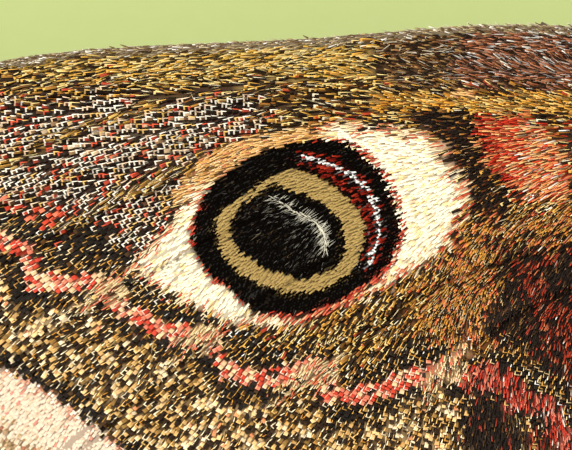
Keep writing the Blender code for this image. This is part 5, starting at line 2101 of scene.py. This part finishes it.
@dataclass
class Antenna:
    """A male's broad feathered antenna: a tapered shaft, two pairs of rays at each joint and fine hairs."""

    root: Place = (0.75, 6.7, 6.2)
    way: Place = (0.70, 0.66, 0.22)
    length: float = 9.4
    bow: float = 0.9
    joints: int = 34
    shaft_radii: tuple[float, float] = (0.19, 0.07)
    ray_radius: float = 0.05
    hairs_on_ray: int = 12
    colours: tuple[str, str] = ("#6a4822", "#b88c4c")

    def middle(self, share: Array) -> Array:
        """Places along the shaft.

        Args:
            share: shares of the shaft's length.

        Returns:
            Rows of x, y and z.
        """
        way = unit(np.array(self.way))
        across = unit(np.cross(UP, way))
        rows = np.array(self.root) + way * self.length * share[:, None] - across * self.bow * share[:,
            None] ** 2
        return solid(rows)

    def build(self, side: Side, finishes: Finishes) -> None:
        """Makes one antenna.

        Args:
            side: on which half.
            finishes: the moth's materials.
        """
        word = side.name.lower()
        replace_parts(self.shaft(side, finishes.cuticle), f"antenna_{word}")
        rays = self.rays()
        count = len(rays.roots)
        shade = new_draw(131).uniform(0.8, 1.2, (count, 1))
        tints = (np.array(linear(self.colours[0])) * shade, np.array(linear(self.colours[1])) * shade)
        places = np.stack((np.arange(count) / count, np.full(count, 0.5)), axis=1)
        rays.build(f"antenna_{word}_rays", finishes.hair, side, tints, places)
        self.fine_hairs(rays, side, finishes.hair)

    def shaft(self, side: Side, finish: Finish) -> Piece:
        """Makes the jointed shaft, thicker at each joint.

        Args:
            side: on which half.
            finish: its material.

        Returns:
            The shaft.
        """
        share = np.linspace(0, 1, self.joints * 4 + 1)
        middle = self.middle(share)
        knob = 1 + 0.12 * np.cos(2 * math.pi * share * self.joints)
        radius = np.interp(share, (0, 0.05, 1), (1.5 * self.shaft_radii[0], *self.shaft_radii)) * knob
        ahead = unit(np.gradient(middle, axis=0))
        across = unit(np.cross(ahead, UP))
        over = np.cross(across, ahead)
        sides = 8
        turns = np.linspace(0, 2 * math.pi, sides, endpoint=False)
        rings = middle[:, None] + radius[:, None, None] * (np.cos(turns)[None, :, None] * across[:, None]
            + np.sin(turns)[None, :, None] * over[:, None])
        points = np.vstack((rings.reshape(-1, 3), middle[:1], middle[-1:]))
        start, k = np.meshgrid(np.arange(len(share) - 1) * sides, np.arange(sides), indexing="ij")
        start, k = start.ravel(), k.ravel()
        after = (k + 1) % sides
        low = np.stack((start + k, start + after, start + sides + after), axis=1)
        high = np.stack((start + k, start + sides + after, start + sides + k), axis=1)
        ring = np.arange(sides)
        end = (len(share) - 1) * sides
        base_cap = np.stack((np.roll(ring, -1), ring, np.full(sides, len(points) - 2)), axis=1)
        tip_cap = np.stack((end + ring, end + np.roll(ring, -1), np.full(sides, len(points) - 1)), axis=1)
        faces = np.vstack((low, high, base_cap, tip_cap))
        tint = np.tile(np.array(linear(self.colours[0])), (len(points), 1))
        return new_piece(f"antenna_{side.name.lower()}_shaft", points, faces[:, ::-1], finish, side,
            {"tint": tint}, smooth=True)

    def rays(self) -> Hairs:
        """Lays out the rays, two pairs to a joint.

        Returns:
            The rays.
        """
        roots, ways, lengths = [], [], []
        share = (np.arange(self.joints) + 0.7) / (self.joints + 0.7)
        for pair in (0.0, 0.45):
            at = np.clip(share + pair / self.joints, 0, 1)
            middle = self.middle(at)
            ahead = unit(self.middle(np.minimum(at + 0.01, 1)) - self.middle(at - 0.01))
            across = unit(np.cross(ahead, UP))
            half = 0.35 + 1.95 * np.sin(math.pi * np.minimum(1, at**0.85)) ** 0.8
            for way in (-1.0, 1.0):
                roots.append(middle)
                ways.append(unit(way * across + 0.45 * ahead + (0.0, 0.0, -0.22 + 0.5 * pair)))
                lengths.append(half * 1.02)
        roots, ways, lengths = np.vstack(roots), np.vstack(ways), np.concatenate(lengths)
        normals = np.tile(UP, (len(roots), 1))
        return Hairs(roots, ways, normals, lengths, np.full(len(roots), self.ray_radius), 0.14, 6)

    def fine_hairs(self, rays: Hairs, side: Side, finish: Finish) -> None:
        """Adds the scent hairs along both sides of the rays.

        Args:
            rays: the rays that carry them.
            side: on which half.
            finish: their material.
        """
        roots, ways, places = [], [], []
        aside = unit(np.cross(rays.ways, rays.normals))
        number = np.arange(len(rays.roots)) / len(rays.roots)
        for k in range(self.hairs_on_ray):
            share = (k + 1) / (self.hairs_on_ray + 0.5)
            for way in (-1.0, 1.0):
                roots.append(rays.place(share))
                ways.append(unit(way * aside + 0.7 * rays.ways))
                places.append(np.stack((number, np.full(len(number), 0.1 + 0.8 * share)), axis=1))
        roots, ways, places = np.vstack(roots), np.vstack(ways), np.vstack(places)
        normals = np.tile(UP, (len(roots), 1))
        hairs = Hairs(roots, ways, normals, np.full(len(roots), 0.16), np.full(len(roots), 0.012), 0.1)
        tint = np.tile(np.array(linear(self.colours[1])), (len(roots), 1))
        hairs.build(f"antenna_{side.name.lower()}_fine_hairs", finish, side, (0.8 * tint, tint), places)


@dataclass
class Eye:
    """A round compound eye set into the side of the head."""

    ball: Ball = Ball(EYE_CENTRE, (EYE_RADIUS,) * 3)

    def build(self, side: Side, finish: Finish) -> None:
        """Makes one eye.

        Args:
            side: on which half.
            finish: its material.
        """
        cage = bmesh.new()
        bmesh.ops.create_icosphere(cage, subdivisions=5, radius=1.0)
        ways = np.array([v.co[:] for v in cage.verts])
        faces = np.array([[v.index for v in f.verts] for f in cage.faces])
        cage.free()
        points, _ = self.ball.points(ways)
        made = new_piece(f"eye_{side.name.lower()}_lenses", points, faces, finish, side, smooth=True)
        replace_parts(made, f"eye_{side.name.lower()}")


@dataclass
class Studio:
    """Floor, lights and the camera at the photograph's view."""

    aim: Plan = (16.514, -1.107)
    aim_up: float = 7.69
    tilt: float = 25.0
    distance: float = 130.0
    pixels_per_mm: float = 42.0
    image_width: int = 572

    def build(self) -> None:
        """Makes the camera, the floor and the lights."""
        self.camera()
        self.floor()
        self.lights()

    def camera(self) -> None:
        """Makes the close-up camera over the left forewing."""
        data = bpy.data.cameras.new("close_up")
        data.sensor_width = 36.0
        data.lens = self.pixels_per_mm * self.distance * data.sensor_width / self.image_width
        data.clip_start = 0.01
        data.clip_end = 10.0
        data.dof.use_dof = False
        camera = add_object("close_up", data)
        lean = math.radians(self.tilt)
        back = Vector((0, math.sin(lean), math.cos(lean)))
        right = Vector((-1, 0, 0))
        target = Vector(solid(np.array((*self.aim, self.aim_up)))) * MM
        camera.location = target + back * self.distance * MM
        camera.rotation_euler = Matrix((right, back.cross(right), back)).transposed().to_euler()
        bpy.context.scene.camera = camera

    def floor(self) -> None:
        """Makes the plain pale floor."""
        reach = 0.6
        mesh = bpy.data.meshes.new("floor")
        mesh.from_pydata([(-reach, -reach, 0), (reach, -reach, 0), (reach, reach, 0), (-reach, reach, 0)],
            [], [(0, 1, 2, 3)])
        mesh.materials.append(Paper().make())
        add_object("floor", mesh)

    def lights(self) -> None:
        """Makes a large soft key light, a fill and an even pale surround."""
        scene = bpy.context.scene
        scene.view_settings.view_transform = "Standard"
        scene.view_settings.look = "None"
        world = bpy.data.worlds.new("studio")
        scene.world = world
        world.use_nodes = True
        world.node_tree.nodes["Background"].inputs["Color"].default_value = (1, 0.955, 0.86, 1)
        world.node_tree.nodes["Background"].inputs["Strength"].default_value = 0.38
        for name, place, size, power in (("key", (0.12, -0.20, 0.26), 0.07, 1.52),
                ("fill", (-0.15, 0.18, 0.30), 0.20, 0.35)):
            data = bpy.data.lights.new(name, "AREA")
            data.shape = "DISK"
            data.size = size
            data.energy = power
            data.color = (1.0, 0.94, 0.80)
            lamp = add_object(name, data)
            lamp.location = place
            lamp.rotation_euler = (-Vector(place)).to_track_quat("-Z", "Y").to_euler()


def main() -> None:
    """Builds the moth and its stage."""
    logging.basicConfig(level=logging.INFO, format="%(name)s %(message)s")
    finishes = Finishes(scale=Chitin("wing_scale_chitin", roughness=0.55, specular=0.12).make(),
        velvet=Chitin("velvet_scale_chitin", roughness=0.8, specular=0.02).make(),
        membrane=Chitin("wing_membrane_chitin", roughness=0.6, specular=0.12).make(),
        hair=Chitin("moth_hair_chitin", roughness=0.5, specular=0.25, sheen=0.15).make(),
        cuticle=Chitin("body_cuticle_chitin", roughness=0.45, grain_mm=0.08).make(), eye=EyeLens().make())
    fore_under = UndersideMarkings(RoundEyespot((16.3, -1.2), 2.0), UNDER_GREY, UNDER_ORANGE)
    hind_under = UndersideMarkings(RoundEyespot((8.6, -11.2), 1.5), UNDER_ROSE, UNDER_GREY)
    for number, side in enumerate(Side):
        Wing(FOREWING, "forewing", side, ForewingMarkings(), fore_under, ScaleRows(0.135, 0.138, brick=0.0),
            seed=5 + 40 * number).build(finishes)
        Wing(HINDWING, "hindwing", side, HindwingMarkings(), hind_under, ScaleRows(0.185, 0.16),
            seed=205 + 40 * number, loose_bristles=2400, edge_hairs=700).build(finishes)
        PupilHairs(FOREWING).build(side, finishes.hair)
        Antenna().build(side, finishes)
        Eye().build(side, finishes.eye)
    Body().build(finishes)
    Studio().build()


if __name__ == "__main__":
    main()
